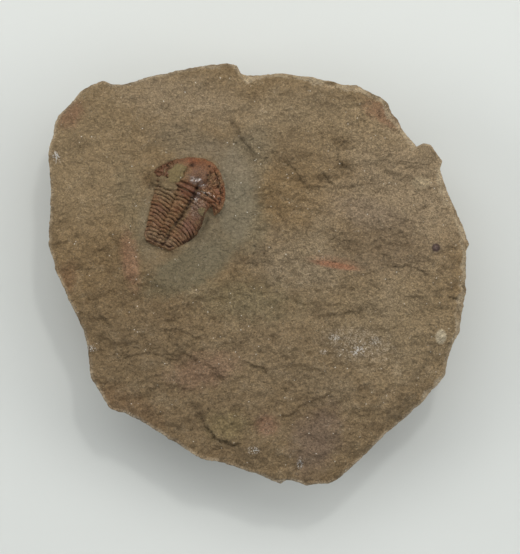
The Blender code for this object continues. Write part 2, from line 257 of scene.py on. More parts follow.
def glabellaReach(along, across):
    centre, size = shell["glabella"], shell["glabellaSize"]
    ahead = along - centre[0]
    return np.hypot(ahead / size[0], (across - centre[1] - 0.08 * ahead) / size[1])


# the furrow that runs up beside the axis into the back of the head
def axialTrench(along, beside):
    out = np.abs(beside) - axisHalfWidth(along)
    return hump(out - 0.5, 0.45) * (beside > 0) * smoothRise(7.4, 6.2, along)


# worn wrinkles of the cheeks, 0 in a wrinkle and 1 on a ridge
def cheekRidges(along, across):
    return 1.0 - hump(fractalAt(along * 0.95, across * 0.95, 5.0, 2), 0.11)


# low lumps on the rear of the glabella and small pits beside it: along, across, radius, rise
headLumps = (
    (6.7, 0.6, 0.55, 0.46), (7.5, -0.2, 0.42, 0.30), (7.9, 2.4, 0.5, 0.48), (6.1, 3.0, 0.5, 0.50),
    (7.0, 1.6, 0.4, 0.26), (6.7, -1.4, 0.8, 0.14), (7.3, 0.6, 0.24, -0.22), (7.8, 1.3, 0.26, -0.2),
    (8.9, 1.9, 0.5, 0.12), (10.3, -1.6, 0.5, -0.28), (11.8, 2.5, 0.32, -0.30), (10.5, 3.4, 0.34, -0.34),
    (9.5, 3.1, 0.4, -0.26), (8.7, 3.6, 0.42, -0.26), (4.1, -2.7, 0.35, -0.35), (8.0, 6.6, 0.35, -0.22),
    (6.9, 5.2, 0.3, -0.2), (5.4, 7.9, 0.32, -0.2), (6.3, 6.6, 0.36, 0.16), (10.4, 5.0, 0.4, 0.12),
)


def headRelief(along, across, edge):
    beside = across - axisLine(along)
    height = 1.75 * (1.0 - (1.0 - np.minimum(edge, 4.4) / 4.4) ** 2)
    # raised border on the right
    right = smoothRise(2.6, 4.6, across)
    height += right * (0.20 * hump(edge - 0.5, 0.4) - 0.26 * hump(edge - 1.15, 0.26))
    height -= 0.55 * axialTrench(along, beside)
    # glabella and the furrow round it
    reach = glabellaReach(along, across)
    dome = np.clip(1.0 - reach ** 2.4, 0.0, 1.0) ** 0.8
    height += shell["glabellaRise"] * dome
    rightEdge = 0.35 + 0.65 * smoothRise(-1.5, 0.5, across)
    height -= 0.24 * hump(reach - 1.03, 0.10) * smoothRise(12.6, 11.2, along) * rightEdge
    # ring at the back of the head, the furrow before it and the ridge beside it
    back = along - headEdge(along, across)
    inner = smoothRise(3.0, 2.4, np.abs(beside))
    height += (0.42 * inner + 0.36 * (1.0 - inner)) * hump(back - 0.75, 0.5)
    height -= (0.16 * inner + 0.34) * hump(back - 1.5, 0.24) * smoothRise(9.0, 7.4, np.abs(beside))
    height += 0.20 * hump(back - 2.0, 0.28) * smoothRise(3.0, 3.8, across) * smoothRise(8.2, 6.6, across)
    # eye on the right cheek
    eyeReach = np.hypot(along - 9.0, (across - 4.9) * 0.9)
    height += 0.24 * hump(eyeReach - 1.05, 0.3) - 0.12 * hump(eyeReach, 0.6)
    for spotAlong, spotAcross, radius, rise in headLumps:
        height += rise * hump(np.hypot(along - spotAlong, across - spotAcross), radius)
    return height


def bodyRelief(along, across, edge):
    beside = across - axisLine(along)
    half = axisHalfWidth(along)
    out = np.abs(beside) - half
    taper = 0.55 + 0.45 * smoothRise(-11.0, 3.0, along)
    reach = np.where(beside > 0, 2.0, 2.6)
    height = 1.7 * taper * (1.0 - (1.0 - np.minimum(edge, reach) / reach) ** 2.2)
    # arched axis with a trench on each side, wider on the right
    height += 0.80 * taper * np.sqrt(np.clip(1.0 - (beside / half) ** 2, 0.0, 1.0))
    trench = 0.62 * taper * hump(out - 0.45, 0.62)
    height -= np.where(beside > 0, trench, 0.24 * taper * hump(out - 0.1, 0.36))
    # rings and ribs, lower in the tail and where the shell is worn
    count = ringCount(along, across)
    thorax = smoothRise(-0.15, -0.5, along - headEdge(along, across))
    relief = shell["ribRelief"] * ribStrength(count, along, across) * np.where(out < 0, 1.0, 0.86)
    relief = relief * (1.0 - 0.45 * smoothRise(13.0, 14.0, count)) * smoothRise(0.0, 0.4, edge)
    relief = relief * (1.0 - 0.55 * hump(out - 0.5, 0.4) * (beside > 0))
    worn = hump(along + 0.6, 2.6) * smoothRise(1.9, 2.8, beside)
    height += relief * thorax * (1.0 - 0.7 * worn) * ribProfile(count)
    height += 0.16 * worn * ridgesAt(along * 0.7, across * 0.9, 33.0)
    # rim of the tail
    height += 0.26 * hump(edge - 0.4, 0.25) * smoothRise(-10.0, -10.9, along)
    height -= 0.3 * hump(edge - 0.95, 0.25) * smoothRise(-9.6, -10.6, along)
    return height


def shellHeight(along, across, edge):
    blend = smoothRise(-0.14, 0.14, along - headEdge(along, across))
    height = headRelief(along, across, edge) * blend + bodyRelief(along, across, edge) * (1.0 - blend)
    height -= 0.42 * hump(along - headEdge(along, across), 0.2) * smoothRise(0.2, 1.0, edge)
    return height + shell["lift"]


def shellSurface(along, across, edge):
    height = shellHeight(along, across, edge)
    fade = smoothRise(0.0, 0.5, edge)
    onHead = smoothRise(3.0, 4.4, along)
    rightCheek = smoothRise(3.2, 4.2, across) * onHead
    leftCheek = smoothRise(-4.6, -6.2, across) * smoothRise(1.0, 2.5, along)
    height += fade * shell["grainRelief"] * fractalAt(along * 1.9, across * 1.9, 3.0, 3)
    height += fade * (rightCheek * 0.50 + leftCheek * 0.60) * (cheekRidges(along, across) - 0.5)
    height += fade * (rightCheek + leftCheek) * 0.14 * (ridgesAt(along * 1.3, across * 1.3, 9.0) - 1.0)
    height += fade * 0.07 * fractalAt(along * 0.6, across * 0.6, 8.0, 2)
    height += fade * (1.0 - onHead) * 0.15 * (ridgesAt(along * 1.5, across * 1.1, 13.0) - 1.0)
    return height


# where painted shade goes on the shell: 1 in the bottom of a furrow, 0 on a crest
def shellFurrowShade(along, across, edge):
    beside = across - axisLine(along)
    out = np.abs(beside) - axisHalfWidth(along)
    thorax = smoothRise(0.0, -0.3, along - headEdge(along, across))
    count = ringCount(along, across)
    ribs = smoothRise(0.25, -0.4, ribProfile(count)) * thorax * ribStrength(count, along, across)
    worn = hump(along + 0.6, 2.6) * smoothRise(1.9, 2.8, beside)
    ribs = ribs * (1.0 - 0.4 * hump(along + 1.5, 2.5) * (out < 0.0))
    ribs = ribs * (1.0 - 0.65 * worn) * (1.0 - 0.5 * hump(out - 0.6, 0.4) * (beside > 0))
    groove = 0.85 * hump(along - headEdge(along, across), 0.22)
    back = along - headEdge(along, across)
    occipital = hump(back - 1.5, 0.2) * smoothRise(8.6, 7.0, np.abs(beside))
    occipital = occipital * (0.6 + 0.4 * smoothRise(2.0, 3.0, beside))
    around = 0.5 * hump(glabellaReach(along, across) - 1.03, 0.08) * smoothRise(4.5, 6.0, along)
    around = around * smoothRise(11.6, 10.6, along) * smoothRise(-2.0, 0.5, across)
    border = 0.7 * hump(edge - 1.15, 0.22) * smoothRise(3.4, 4.8, across) * smoothRise(2.6, 4.0, along)
    patches = 0.8 + 0.8 * fractalAt(along * 0.5, across * 0.5, 27.0, 3)
    axis = np.where(beside > 0, 0.45 * hump(out - 0.35, 0.5), 0.30 * hump(out - 0.12, 0.3))
    axis = axis * thorax * patches
    tail = 0.8 * hump(edge - 0.95, 0.28) * smoothRise(-9.6, -10.4, along)
    pits = np.zeros(len(along))
    for spotAlong, spotAcross, radius, rise in headLumps:
        if rise < 0:
            pits = np.maximum(pits, hump(np.hypot(along - spotAlong, across - spotAcross), radius * 1.1))
    steep = 0.75 * smoothRise(1.3, 0.3, edge) * smoothRise(3.0, 5.0, across) * smoothRise(2.0, 0.0, along)
    cheeks = smoothRise(3.2, 4.0, across) * smoothRise(5.4, 6.2, along)
    cheeks += smoothRise(-5.6, -6.6, across) * smoothRise(1.0, 2.0, along)
    wrinkles = 0.58 * smoothRise(0.85, 0.1, cheekRidges(along, across)) * cheeks
    trench = 0.8 * axialTrench(along, beside)
    margin = 0.3 * smoothRise(0.3, 0.0, edge)
    lines = [ribs, groove, wrinkles, trench, occipital, around, border, axis, pits, steep, tail, margin]
    return np.clip(np.maximum.reduce(lines), 0.0, 1.0)


# place on the map: upper face, then the wall as a strip, then the flat base
def shellLayout(flat, faces, count, capCount):
    low, size = flat.min(0), (flat.max(0) - flat.min(0)).max()
    span = (flat - low) / size
    span = np.vstack([span, span[:count]])
    uv = 0.02 + 0.72 * span[faces]
    wallStart, capStart = len(faces) - capCount - 2 * count, len(faces) - capCount
    uv[capStart:] = 0.76 + 0.22 * span[faces[capStart:]]
    share = np.arange(count + 1) / count
    left, right = 0.02 + 0.7 * share[:-1], 0.02 + 0.7 * share[1:]
    high, low = np.full(count, 0.86), np.full(count, 0.80)
    upper = [np.column_stack(pair) for pair in ((left, high), (right, high), (left, low))]
    lower = [np.column_stack(pair) for pair in ((right, high), (right, low), (left, low))]
    uv[wallStart:wallStart + count] = np.stack(upper, axis=1)
    uv[wallStart + count:capStart] = np.stack(lower, axis=1)
    return uv


def buildShell(material):
    loose = scatterGrid(marginRing.min(0), marginRing.max(0), shell["grid"], 11)
    edge, inside = ringDistance(loose, marginRing)
    keep = inside & (edge > 0.06)
    flat = np.vstack([marginRing, loose[keep]])
    count = len(marginRing)
    edge = np.concatenate([np.zeros(count), edge[keep]])
    along, across = flat[:, 0], flat[:, 1]
    top = np.column_stack([toSlab(along, across), mouthLevel + shellSurface(along, across, edge)])
    foot = np.column_stack([toSlab(*marginRing.T), np.full(count, shellBase)])
    ring, base = np.arange(count), len(top) + np.arange(count)
    ahead = np.roll(np.arange(count), -1)
    wall = [np.column_stack([ring, ring[ahead], base]), np.column_stack([ring[ahead], base[ahead], base])]
    cap = fillRing(marginRing, np.zeros((0, 2))) + len(top)
    # the body's axes are mirrored against the slab's, so the upper faces are turned over
    faces = np.vstack([fillRing(marginRing, flat[count:])[:, ::-1]] + wall + [cap])
    furrowShade = np.concatenate([shellFurrowShade(along, across, edge), np.ones(count)])
    uv = shellLayout(flat, faces, count, len(cap))
    return makeMesh("shell", np.vstack([top, foot]), faces, uv, {"furrowShade": furrowShade}, material)


slab = {
    "top": 24.0, "sideSteps": 840, "grid": 0.42, "fineGrid": 0.23, "fineReach": 2.6,
    "levels": 36, "leanDirection": 35.0, "rimInset": 1.7, "footInset": 9.0,
    "overhang": 4.4,  # direction of the side that overhangs most, in radians
    "lineation": 10.0, "terrace": 0.44, "scale": 0.22, "flake": 0.24, "grain": 0.10,
    "bed": 3.2, "bedBreak": 1.9, "sideRough": 0.50,
    "hollowDepth": 0.8, "hollowCentre": (-15.5, 15.5), "hollowSize": (15.0, 21.0), "hollowTurn": -24.0,
}
# low breaks of the bedding: line (lower on its right), drop, how far it runs on, how dark the painted shade
# at its foot is
slabLedges = (
    (((-7.1, 39.4), (-5.3, 36.4), (-4.1, 33.4), (-1.1, 31.0), (-0.5, 27.5)), 0.9, 9.0, 0.35),
    (((-14.5, -34.5), (-13.4, -37.8), (-10.6, -40.9), (-7.0, -42.4), (-3.2, -42.6)), 1.2, 8.0, 0.5),
    (((-41.0, -4.7), (-40.7, -8.2), (-38.6, -11.2), (-36.9, -13.6)), 0.7, 5.0, 0.3),
    (((5.5, -36.0), (9.0, -34.0), (13.0, -31.6), (19.8, -28.4)), 1.0, 12.0, 0.0),
    (((31.0, 2.6), (34.5, 2.0), (37.5, 2.1), (41.0, 1.2), (43.0, -0.6)), 0.6, 4.0, 0.5),
    (((45.8, 0.6), (46.6, -1.0), (47.4, -2.6)), 0.5, 2.5, 0.4),
    (((36.0, -5.2), (38.5, -5.7), (42.0, -5.6)), 0.7, 4.0, 0.4),
    (((47.0, -5.6), (51.0, -6.1)), 0.8, 3.0, 0.5),
    (((-26.0, -13.5), (-19.0, -14.0), (-12.0, -17.0)), 0.6, 7.0, 0.25),
    (((-20.2, -18.9), (-15.5, -21.4), (-10.7, -23.7), (-7.7, -27.3)), 0.7, 6.0, 0.3),
    (((-36.0, -21.5), (-28.0, -19.5), (-20.0, -20.0)), 0.6, 6.0, 0.3),
    (((-4.7, -21.4), (1.3, -23.7), (4.8, -27.3)), 0.5, 5.0, 0.25),
    (((6.5, 28.5), (8.7, 26.4), (12.0, 22.4)), 0.7, 5.0, 0.45),
    (((14.5, 26.5), (17.0, 24.2), (20.0, 21.8)), 0.5, 4.0, 0.4),
    (((23.0, 34.0), (20.0, 31.6), (19.6, 28.6), (22.4, 26.4)), 0.5, 3.0, 0.45),
    (((14.0, 31.0), (20.0, 33.0), (26.0, 33.5)), 0.4, 6.0, 0.15),
    (((16.0, 21.5), (30.0, 22.5)), 0.5, 5.0, 0.2),
    (((-2.0, -4.0), (5.0, -4.6), (12.0, -7.5)), 0.5, 6.0, 0.2),
    (((14.0, -10.5), (27.0, -9.0)), 0.4, 5.0, 0.2),
    (((33.0, -39.5), (37.0, -31.0), (44.0, -17.0)), 0.9, 9.0, 0.1),
)


def outlineRadius(angles):
    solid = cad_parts["rock_matrix"].data
    tree = BVHTree.FromPolygons([v.co for v in solid.vertices], [p.vertices for p in solid.polygons])
    heights = [(slab["top"] * share) * mm for share in (0.80, 0.84, 0.88, 0.90, 0.92, 0.94, 0.96, 0.98)]
    radii = []
    for angle in angles:
        outward = Vector((math.cos(angle), math.sin(angle), 0.0))
        found = [tree.ray_cast(outward * 0.2 + Vector((0, 0, z)), -outward)[0] for z in heights]
        radii.append(max(hit.xy.length for hit in found if hit) / mm)
    return np.array(radii)


def hollowAt(x, y):
    turn = math.radians(slab["hollowTurn"])
    dx, dy = x - slab["hollowCentre"][0], y - slab["hollowCentre"][1]
    across = dx * math.cos(turn) + dy * math.sin(turn)
    along = -dx * math.sin(turn) + dy * math.cos(turn)
    return np.hypot(across / slab["hollowSize"][0], along / slab["hollowSize"][1])


# signed offset from a line of points, larger on its right, and how far along it that is
def alongLine(x, y, line):
    best, side, share = np.full(x.shape, 1e9), np.zeros(x.shape), np.zeros(x.shape)
    last = len(line) - 2
    for k in range(last + 1):
        (ax, ay), (bx, by) = line[k], line[k + 1]
        dx, dy = bx - ax, by - ay
        part = ((x - ax) * dx + (y - ay) * dy) / (dx * dx + dy * dy)
        held = np.clip(part, 0.0, 1.0)
        away = np.hypot(x - ax - held * dx, y - ay - held * dy)
        nearer = away < best
        best = np.where(nearer, away, best)
        side = np.where(nearer, away * np.sign((x - ax) * dy - (y - ay) * dx), side)
        part = np.clip(part, -1.0 if k == 0 else 0.0, 2.0 if k == last else 1.0)
        share = np.where(nearer, (k + part) / (last + 1), share)
    return side, share


# how far the ledges lower the face, and the line of painted shade at the foot of each
def ledgesAt(x, y):
    fall, ledgeShade = np.zeros(x.shape), np.zeros(x.shape)
    wobble = 0.55 * cloudAt(x, y, 2.4, 12.0)
    for line, drop, width, darkness in slabLedges:
        side, share = alongLine(x, y, line)
        side = side + wobble
        fade = smoothRise(-0.1, 0.2, share) * smoothRise(1.1, 0.8, share)
        step = smoothRise(-0.16, 0.16, side) * smoothRise(width, width * 0.1, side)
        foot = fade * hump(side - 0.15, 0.32)
        fall += drop * fade * step + 0.5 * darkness * drop * foot
        ledgeShade = np.maximum(ledgeShade, darkness * foot)
    return fall, ledgeShade


# 0 on the rough broken face, 1 where it is worn smooth
def calmAt(x, y):
    return np.maximum(smoothRise(1.05, 0.8, hollowAt(x, y)), 0.45 * smoothRise(26.0, 40.0, y - 0.5 * x))


def edgeFall(x, y, edge):
    bevel = hump(np.arctan2(y, x) + 0.72, 0.5)
    return 0.7 * smoothRise(3.5, 0.0, edge) ** 2 + 1.7 * bevel * smoothRise(6.0, 0.5, edge)


# flat treads with a short steep riser between them
def stairs(value, riser):
    whole = np.floor(value)
    return whole + smoothRise(0.5 - riser, 0.5 + riser, value - whole)


def openFace(x, y, edge):
    height = slab["top"] + 0.9 * fractalAt(x / 31.0, y / 24.0, 1.5, 3)
    turn = math.radians(slab["lineation"])
    grainX, grainY = x * math.cos(turn) + y * math.sin(turn), y * math.cos(turn) - x * math.sin(turn)
    wide = 4.2 * fractalAt(grainX / 17.0, grainY / 10.0, 7.0, 4)
    small = 4.5 * fractalAt(grainX / 6.0, grainY / 4.0, 27.0, 3)
    rough = slab["terrace"] * (0.75 * stairs(wide, 0.06) + 0.25 * wide)
    rough += slab["scale"] * (0.8 * stairs(small, 0.09) + 0.2 * small)
    rough += slab["flake"] * fractalAt(grainX / 3.4, grainY / 1.9, 21.0, 3)
    rough += slab["grain"] * fractalAt(x / 0.9, y / 0.75, 31.0, 2)
    height += rough * (1.0 - 0.78 * calmAt(x, y))
    height -= edgeFall(x, y, edge)
    height -= slab["hollowDepth"] * smoothRise(1.0, 0.45, hollowAt(x, y))
    return height - ledgesAt(x, y)[0]


# how much stone still covers the shell, 0 bare to 1 buried: on the cheek, on the front ribs and the
# left corner, in the notch, and as loose crumbs
def coverAt(along, across):
    wobble = 0.8 * fractalAt(along * 0.55, across * 0.55, 14.0, 3)
    cheek = np.hypot((along - 6.9 - 0.3 * (across + 4.2)) / 2.9, (across + 4.2) / 2.0)
    band = np.hypot((along - 3.6) / 1.6, (across + 5.4) / 2.4)
    notch = np.hypot((along - 0.7) / 1.1, (across - 5.9) / 1.2)
    corner = np.hypot((along - 2.4) / 1.9, (across + 9.2) / 1.9)
    patches = [smoothRise(1.12, 0.9, spot + 0.45 * wobble) for spot in (cheek, band, notch, corner)]
    crumbs = smoothRise(0.12, 0.3, fractalAt(along * 0.9, across * 0.9, 19.0, 3))
    crumbs = crumbs * smoothRise(-6.0, -7.4, across) * smoothRise(1.0, 2.4, along)
    return patches[0], np.maximum(patches[1] * 0.94, patches[3] * 0.95), patches[2], crumbs


# the stone's level round the shell: banks, the groove on the right and the step behind the tail
def groundNearShell(x, y, along, across, reach):
    rightSide = smoothRise(2.0, 4.0, across - 0.35 * np.maximum(along, 0.0))
    besideRibs = smoothRise(4.0, 1.0, along)
    groove = -0.85 * hump(reach - 0.6, 0.75) * rightSide * besideRibs * smoothRise(-9.0, -6.0, along)
    groove -= 0.25 * hump(reach - 0.4, 0.4) * smoothRise(6.0, 9.0, along) * smoothRise(1.0, 4.0, across)
    bank = 0.25 + 0.40 * rightSide * smoothRise(1.4, 2.6, reach)
    leftBank = 0.34 * smoothRise(-3.0, -5.0, across)
    tailStep = smoothRise(-11.3, -11.7, along) * smoothRise(4.8, 3.4, np.abs(across + 0.9))
    tail = -0.75 * tailStep * smoothRise(-14.0, -12.2, along)
    rough = 0.12 * cloudAt(x, y, 1.3, 41.0) + 0.06 * cloudAt(x, y, 0.5, 43.0, 2)
    return mouthLevel + bank + groove + leftBank + tail + rough


def stoneNearShell(x, y, far):
    along, across = toBody(x, y)
    reach, inside = ringDistance(np.column_stack([along, across]), marginRing)
    cheek, band, notch, crumbs = coverAt(along, across)
    cover = np.maximum.reduce([cheek, band, notch, 0.75 * crumbs])
    lumps = 0.18 * cloudAt(x, y, 1.5, 51.0) + 0.07 * cloudAt(x, y, 0.5, 53.0, 2)
    skin = shellHeight(along, across, np.where(inside, reach, 0.0))
    pillow = 1.6 * (1.0 - (1.0 - np.minimum(reach, 3.6) / 3.6) ** 2) + 0.35
    skin = skin + cover * (np.maximum(skin, pillow) - skin)
    under = mouthLevel + skin - 0.75 + cover * 1.12 + cover * lumps
    ground = groundNearShell(x, y, along, across, np.where(inside, 0.0, reach))
    lip = smoothRise(0.12, 0.7, reach)
    under = under * lip + np.maximum(ground, under * lip + ground * (1.0 - lip)) * (1.0 - lip)
    near = np.where(inside, under, ground)
    blend = np.where(inside, 1.0, smoothRise(6.5, 2.2, reach))
    olive = np.where(inside, np.maximum.reduce([cheek, 0.7 * notch, 0.2 * band]), 0.0)
    return near * blend + far * (1.0 - blend), olive


# the broken side: inset from the widest outline for each angle (columns) and depth share (rows)
def sideInset(x, y, depth, angles, z):
    turned = np.arctan2(np.sin(angles - slab["overhang"]), np.cos(angles - slab["overhang"]))
    taper = slab["footInset"] * depth ** 1.7 * (0.6 + 0.65 * hump(turned, 0.75))
    layer = (z + 1.5 * cloudAt(x, y, 13.0, 61.0, 2)) / slab["bed"]
    step = np.floor(layer)
    chunk = sampled(noise.cell, x / 9.0, y / 9.0, step * 3.7)
    broken = slab["bedBreak"] * (fractalAt(x / 7.0, y / 7.0, step * 7.3, 2) + 0.25 * chunk)
    rough = slab["sideRough"] * fractalAt(x / 2.6, y / 2.6, z / 1.6, 4)
    begin = smoothRise(0.07, 0.22, depth)
    return taper + begin * (np.maximum(broken, -0.4) + 0.5 + 0.7 * (layer - step) + rough)


def slabRims(angles):
    radius = outlineRadius(angles) + 0.2
    x, y = polar(radius, angles).T
    nicks = 0.24 * np.abs(cloudAt(x, y, 1.6, 71.0))
    radius -= nicks + 0.1 * np.abs(cloudAt(x, y, 0.6, 72.0, 2))
    lean = smoothRise(-0.1, 0.9, np.cos(angles - math.radians(slab["leanDirection"])))
    patchy = 0.35 + 1.4 * np.abs(cloudAt(x, y, 5.0, 73.0))
    return radius, radius - 0.2 - slab["rimInset"] * lean * patchy


def slabTopPoints(ring):
    coarse = scatterGrid(ring.min(0), ring.max(0), slab["grid"], 5)
    reach, inside = ringDistance(np.column_stack(toBody(*coarse.T)), marginRing[::4])
    coarse = coarse[~inside & (reach > slab["fineReach"])]
    middle = np.array(shell["centre"])
    fine = scatterGrid(middle - 18.0, middle + 18.0, slab["fineGrid"], 6)
    reach, inside = ringDistance(np.column_stack(toBody(*fine.T)), marginRing[::4])
    loose = np.vstack([coarse, fine[inside | (reach < slab["fineReach"])]])
    edge, inside = ringDistance(loose, ring)
    return loose[inside & (edge > 0.25)]


def slabSide(angles, radius, rimRadius, rimHeight):
    depth = (np.arange(1, slab["levels"] + 1) / (slab["levels"] + 1))[:, None] ** 1.25
    z = rimHeight[None] * (1.0 - depth)
    depth, around = np.broadcast_to(depth, z.shape), np.broadcast_to(angles[None], z.shape)
    wideX = np.broadcast_to((radius * np.cos(angles))[None], z.shape)
    wideY = np.broadcast_to((radius * np.sin(angles))[None], z.shape)
    inset = sideInset(wideX, wideY, depth, around, z)
    opening = smoothRise(0.0, 0.07, depth)
    reach = (radius[None] - inset) * opening + rimRadius[None] * (1.0 - opening)
    shake = smoothRise(0.0, 0.1, depth) * smoothRise(1.0, 0.9, depth)
    z = z + 0.25 * fractalAt(wideX / 3.0, wideY / 3.0, z / 2.0 + 80.0, 2) * shake
    side = np.column_stack([(reach * np.cos(around)).ravel(), (reach * np.sin(around)).ravel(), z.ravel()])
    foot = reach[-1] - 1.2 - 0.5 * np.abs(cloudAt(wideX[-1], wideY[-1], 5.0, 90.0, 2))
    return side, polar(foot, angles)


def slabUnderside(foot):
    loose = scatterGrid(foot.min(0), foot.max(0), 2.0, 7)
    away, inside = ringDistance(loose, foot)
    loose = loose[inside & (away > 1.2)]
    under = np.vstack([foot, loose])
    relief = np.abs(0.25 * cloudAt(*under.T, 6.0, 95.0))
    relief[:len(foot)] = 0.0
    return np.column_stack([under, relief]), fillRing(foot, loose)[:, ::-1]


# rows of quads split in two, and their place on the map: three strips, one above the other
def slabBands(rows, steps):
    ahead = np.roll(np.arange(steps), -1)
    run = np.arange(steps + 1) / steps * 3.0
    strip = np.floor(run[:-1] + 1e-9)
    left, right = 0.01 + 0.98 * (run[:-1] - strip), 0.01 + 0.98 * (run[1:] - strip)
    faces, layout = [], []
    for k in range(len(rows) - 1):
        upper, lower = rows[k], rows[k + 1]
        high = 0.70 + 0.1 * strip + 0.094 * (1.0 - k / (len(rows) - 1))
        low = 0.70 + 0.1 * strip + 0.094 * (1.0 - (k + 1) / (len(rows) - 1))
        pairs = ((left, high), (left, low), (right, low), (right, high))
        a, b, c, d = (np.column_stack(pair) for pair in pairs)
        faces.append(np.column_stack([upper, lower, lower[ahead]]))
        faces.append(np.column_stack([upper, lower[ahead], upper[ahead]]))
        layout += [np.stack([a, b, c], axis=1), np.stack([a, c, d], axis=1)]
    return faces, layout


# 1 where the rim shows newer, paler breaks; toward the upper right, where the rim faces the lamps, this
# paleness is also painted light
def freshRimAndLight(angles, edge, topCount, sideCount, bottomCount):
    facing = smoothRise(-0.25, 0.5, np.cos(angles - math.radians(slab["leanDirection"])))
    rows = np.linspace(0.0, 1.0, sideCount // len(angles))[:, None]
    side = (facing[None] * smoothRise(0.35, 0.08, rows)).ravel()
    top = smoothRise(1.0, 0.25, edge[:topCount])
    top[:len(angles)] = np.maximum(top[:len(angles)], facing)
    return np.concatenate([top, side, np.zeros(bottomCount)])


def buildSlab(material):
    steps = slab["sideSteps"]
    angles = np.linspace(0.0, 2.0 * math.pi, steps, endpoint=False)
    radius, rimRadius = slabRims(angles)
    ring, widest = polar(rimRadius, angles), polar(radius, angles)
    loose = slabTopPoints(ring)
    flat = np.vstack([ring, loose])
    edge = ringDistance(flat, widest)[0]
    height, olive = stoneNearShell(flat[:, 0], flat[:, 1], openFace(flat[:, 0], flat[:, 1], edge))
    top = np.column_stack([flat, height])
    print("slab: upper face has", len(top), "points")
    side, foot = slabSide(angles, radius, rimRadius, height[:steps])
    bottom, bottomFaces = slabUnderside(foot)
    firstSide, firstBottom = len(top), len(top) + len(side)
    rows = [np.arange(steps)] + [firstSide + k * steps + np.arange(steps) for k in range(slab["levels"])]
    bands, bandLayout = slabBands(rows + [firstBottom + np.arange(steps)], steps)
    topFaces = fillRing(ring, loose)
    faces = np.vstack([topFaces] + bands + [bottomFaces + firstBottom])
    topUv = 0.01 + 0.67 * (top[:, :2] + 54.0) / 108.0
    bottomUv = np.array([0.70, 0.01]) + 0.28 * (bottom[:, :2] + 54.0) / 108.0
    uv = np.vstack([topUv[topFaces]] + bandLayout + [bottomUv[bottomFaces]])
    rest = len(side) + len(bottom)
    attributes = {
        "side": np.concatenate([smoothRise(1.3, 0.2, edge), np.ones(rest)]),
        "rough": np.concatenate([1.0 - calmAt(flat[:, 0], flat[:, 1]), np.ones(rest)]),
        "ledgeShade": np.concatenate([ledgesAt(flat[:, 0], flat[:, 1])[1], np.zeros(rest)]),
        "cover": np.concatenate([olive, np.zeros(rest)]),
        "freshRimAndLight": freshRimAndLight(angles, edge, len(top), len(side), len(bottom)),
    }
    print("slab:", len(top) + rest, "points,", len(faces), "triangles")
    return makeMesh("slab", np.vstack([top, side, bottom]), faces, uv, attributes, material)


# small node helpers: a socket is linked, anything else is typed into the node
def put(tree, kind, inputs=(), **settings):
    node = tree.nodes.new("ShaderNode" + kind)
    for key, value in settings.items():
        setattr(node, key, value)
    for key, value in dict(inputs).items():
        if isinstance(value, bpy.types.NodeSocket):
            tree.links.new(value, node.inputs[key])
        else:
            node.inputs[key].default_value = value
    return node


def calc(tree, operation, *values):
    return put(tree, "Math", enumerate(values), operation=operation).outputs[0]


def times(tree, a, b):
    return calc(tree, "MULTIPLY", a, b)


def timesPlus(tree, a, b, c):
    return calc(tree, "MULTIPLY_ADD", a, b, c)


def blendColours(tree, share, a, b):
    return put(tree, "Mix", {0: share, 6: a, 7: b}, data_type="RGBA").outputs[2]


def scaled(tree, vector, factor):
    return put(tree, "VectorMath", {0: vector, "Scale": factor}, operation="SCALE").outputs[0]


def turnedAbout(tree, point, centre, angle):
    away = put(tree, "VectorMath", {0: point, 1: centre}, operation="SUBTRACT").outputs[0]
    return put(tree, "VectorRotate", {"Vector": away, "Angle": angle}, rotation_type="Z_AXIS").outputs[0]


def painted(tree, name):
    return put(tree, "Attribute", attribute_name=name).outputs["Fac"]


# the object's own coordinates, in millimetres
def objectPoint(tree):
    return scaled(tree, put(tree, "TexCoord").outputs["Object"], 1000.0)


def newMaterial(name):
    material = bpy.data.materials.new(name)
    material.use_nodes = True
    return material, material.node_tree, material.node_tree.nodes["Principled BSDF"].inputs


def ramp(tree, value, low, high, toLow=0.0, toHigh=1.0):
    inputs = {"Value": value, "From Min": low, "From Max": high, "To Min": toLow, "To Max": toHigh}
    return put(tree, "MapRange", inputs, interpolation_type="SMOOTHSTEP").outputs[0]


def noiseAt(tree, point, scale, detail=3.0, rough=0.55):
    inputs = {"Vector": point, "Scale": scale, "Detail": detail, "Roughness": rough}
    return put(tree, "TexNoise", inputs).outputs[0]


def newGroup(name, inputs, outputs):
    group = bpy.data.node_groups.new(name, "ShaderNodeTree")
    for label, kind, value in inputs:
        socket = group.interface.new_socket(label, in_out="INPUT", socket_type="NodeSocket" + kind)
        if value is not None:
            socket.default_value = value
    for label in outputs:
        group.interface.new_socket(label, in_out="OUTPUT", socket_type="NodeSocketFloat")
    return group, group.nodes.new("NodeGroupInput").outputs, group.nodes.new("NodeGroupOutput").inputs


def place(tree, group, **inputs):
    return put(tree, "Group", inputs, node_tree=group).outputs


# a soft-edged oval patch with a ragged outline
def makePatchGroup():
    group, given, out = newGroup("ovalPatch", [
        ("point", "Vector", None), ("centre", "Vector", None), ("size", "Vector", (1, 1, 1)),
        ("turn", "Float", 0.0), ("ragged", "Float", 0.5), ("soft", "Float", 0.3), ("grain", "Float", 0.4),
    ], ["mask"])
    turned = turnedAbout(group, given["point"], given["centre"], given["turn"])
    flat = put(group, "VectorMath", {0: turned, 1: given["size"]}, operation="DIVIDE").outputs[0]
    reach = put(group, "VectorMath", {0: flat}, operation="LENGTH").outputs["Value"]
    ragged = calc(group, "SUBTRACT", noiseAt(group, given["point"], given["grain"], 5.0, 0.68), 0.5)
    reach = timesPlus(group, ragged, given["ragged"], reach)
    low, high = calc(group, "SUBTRACT", 1.0, given["soft"]), calc(group, "ADD", 1.0, given["soft"])
    group.links.new(ramp(group, reach, low, high, 1.0, 0.0), out["mask"])
    return group


# how strongly a patch covers a point; thick is its reach up and down
def patchAt(tree, group, point, centre, size, turn, ragged, soft, grain, thick=9.0):
    return place(tree, group, point=point, centre=(*centre, slab["top"]), size=(*size, thick),
                 turn=math.radians(turn), ragged=ragged, soft=soft, grain=grain)["mask"]
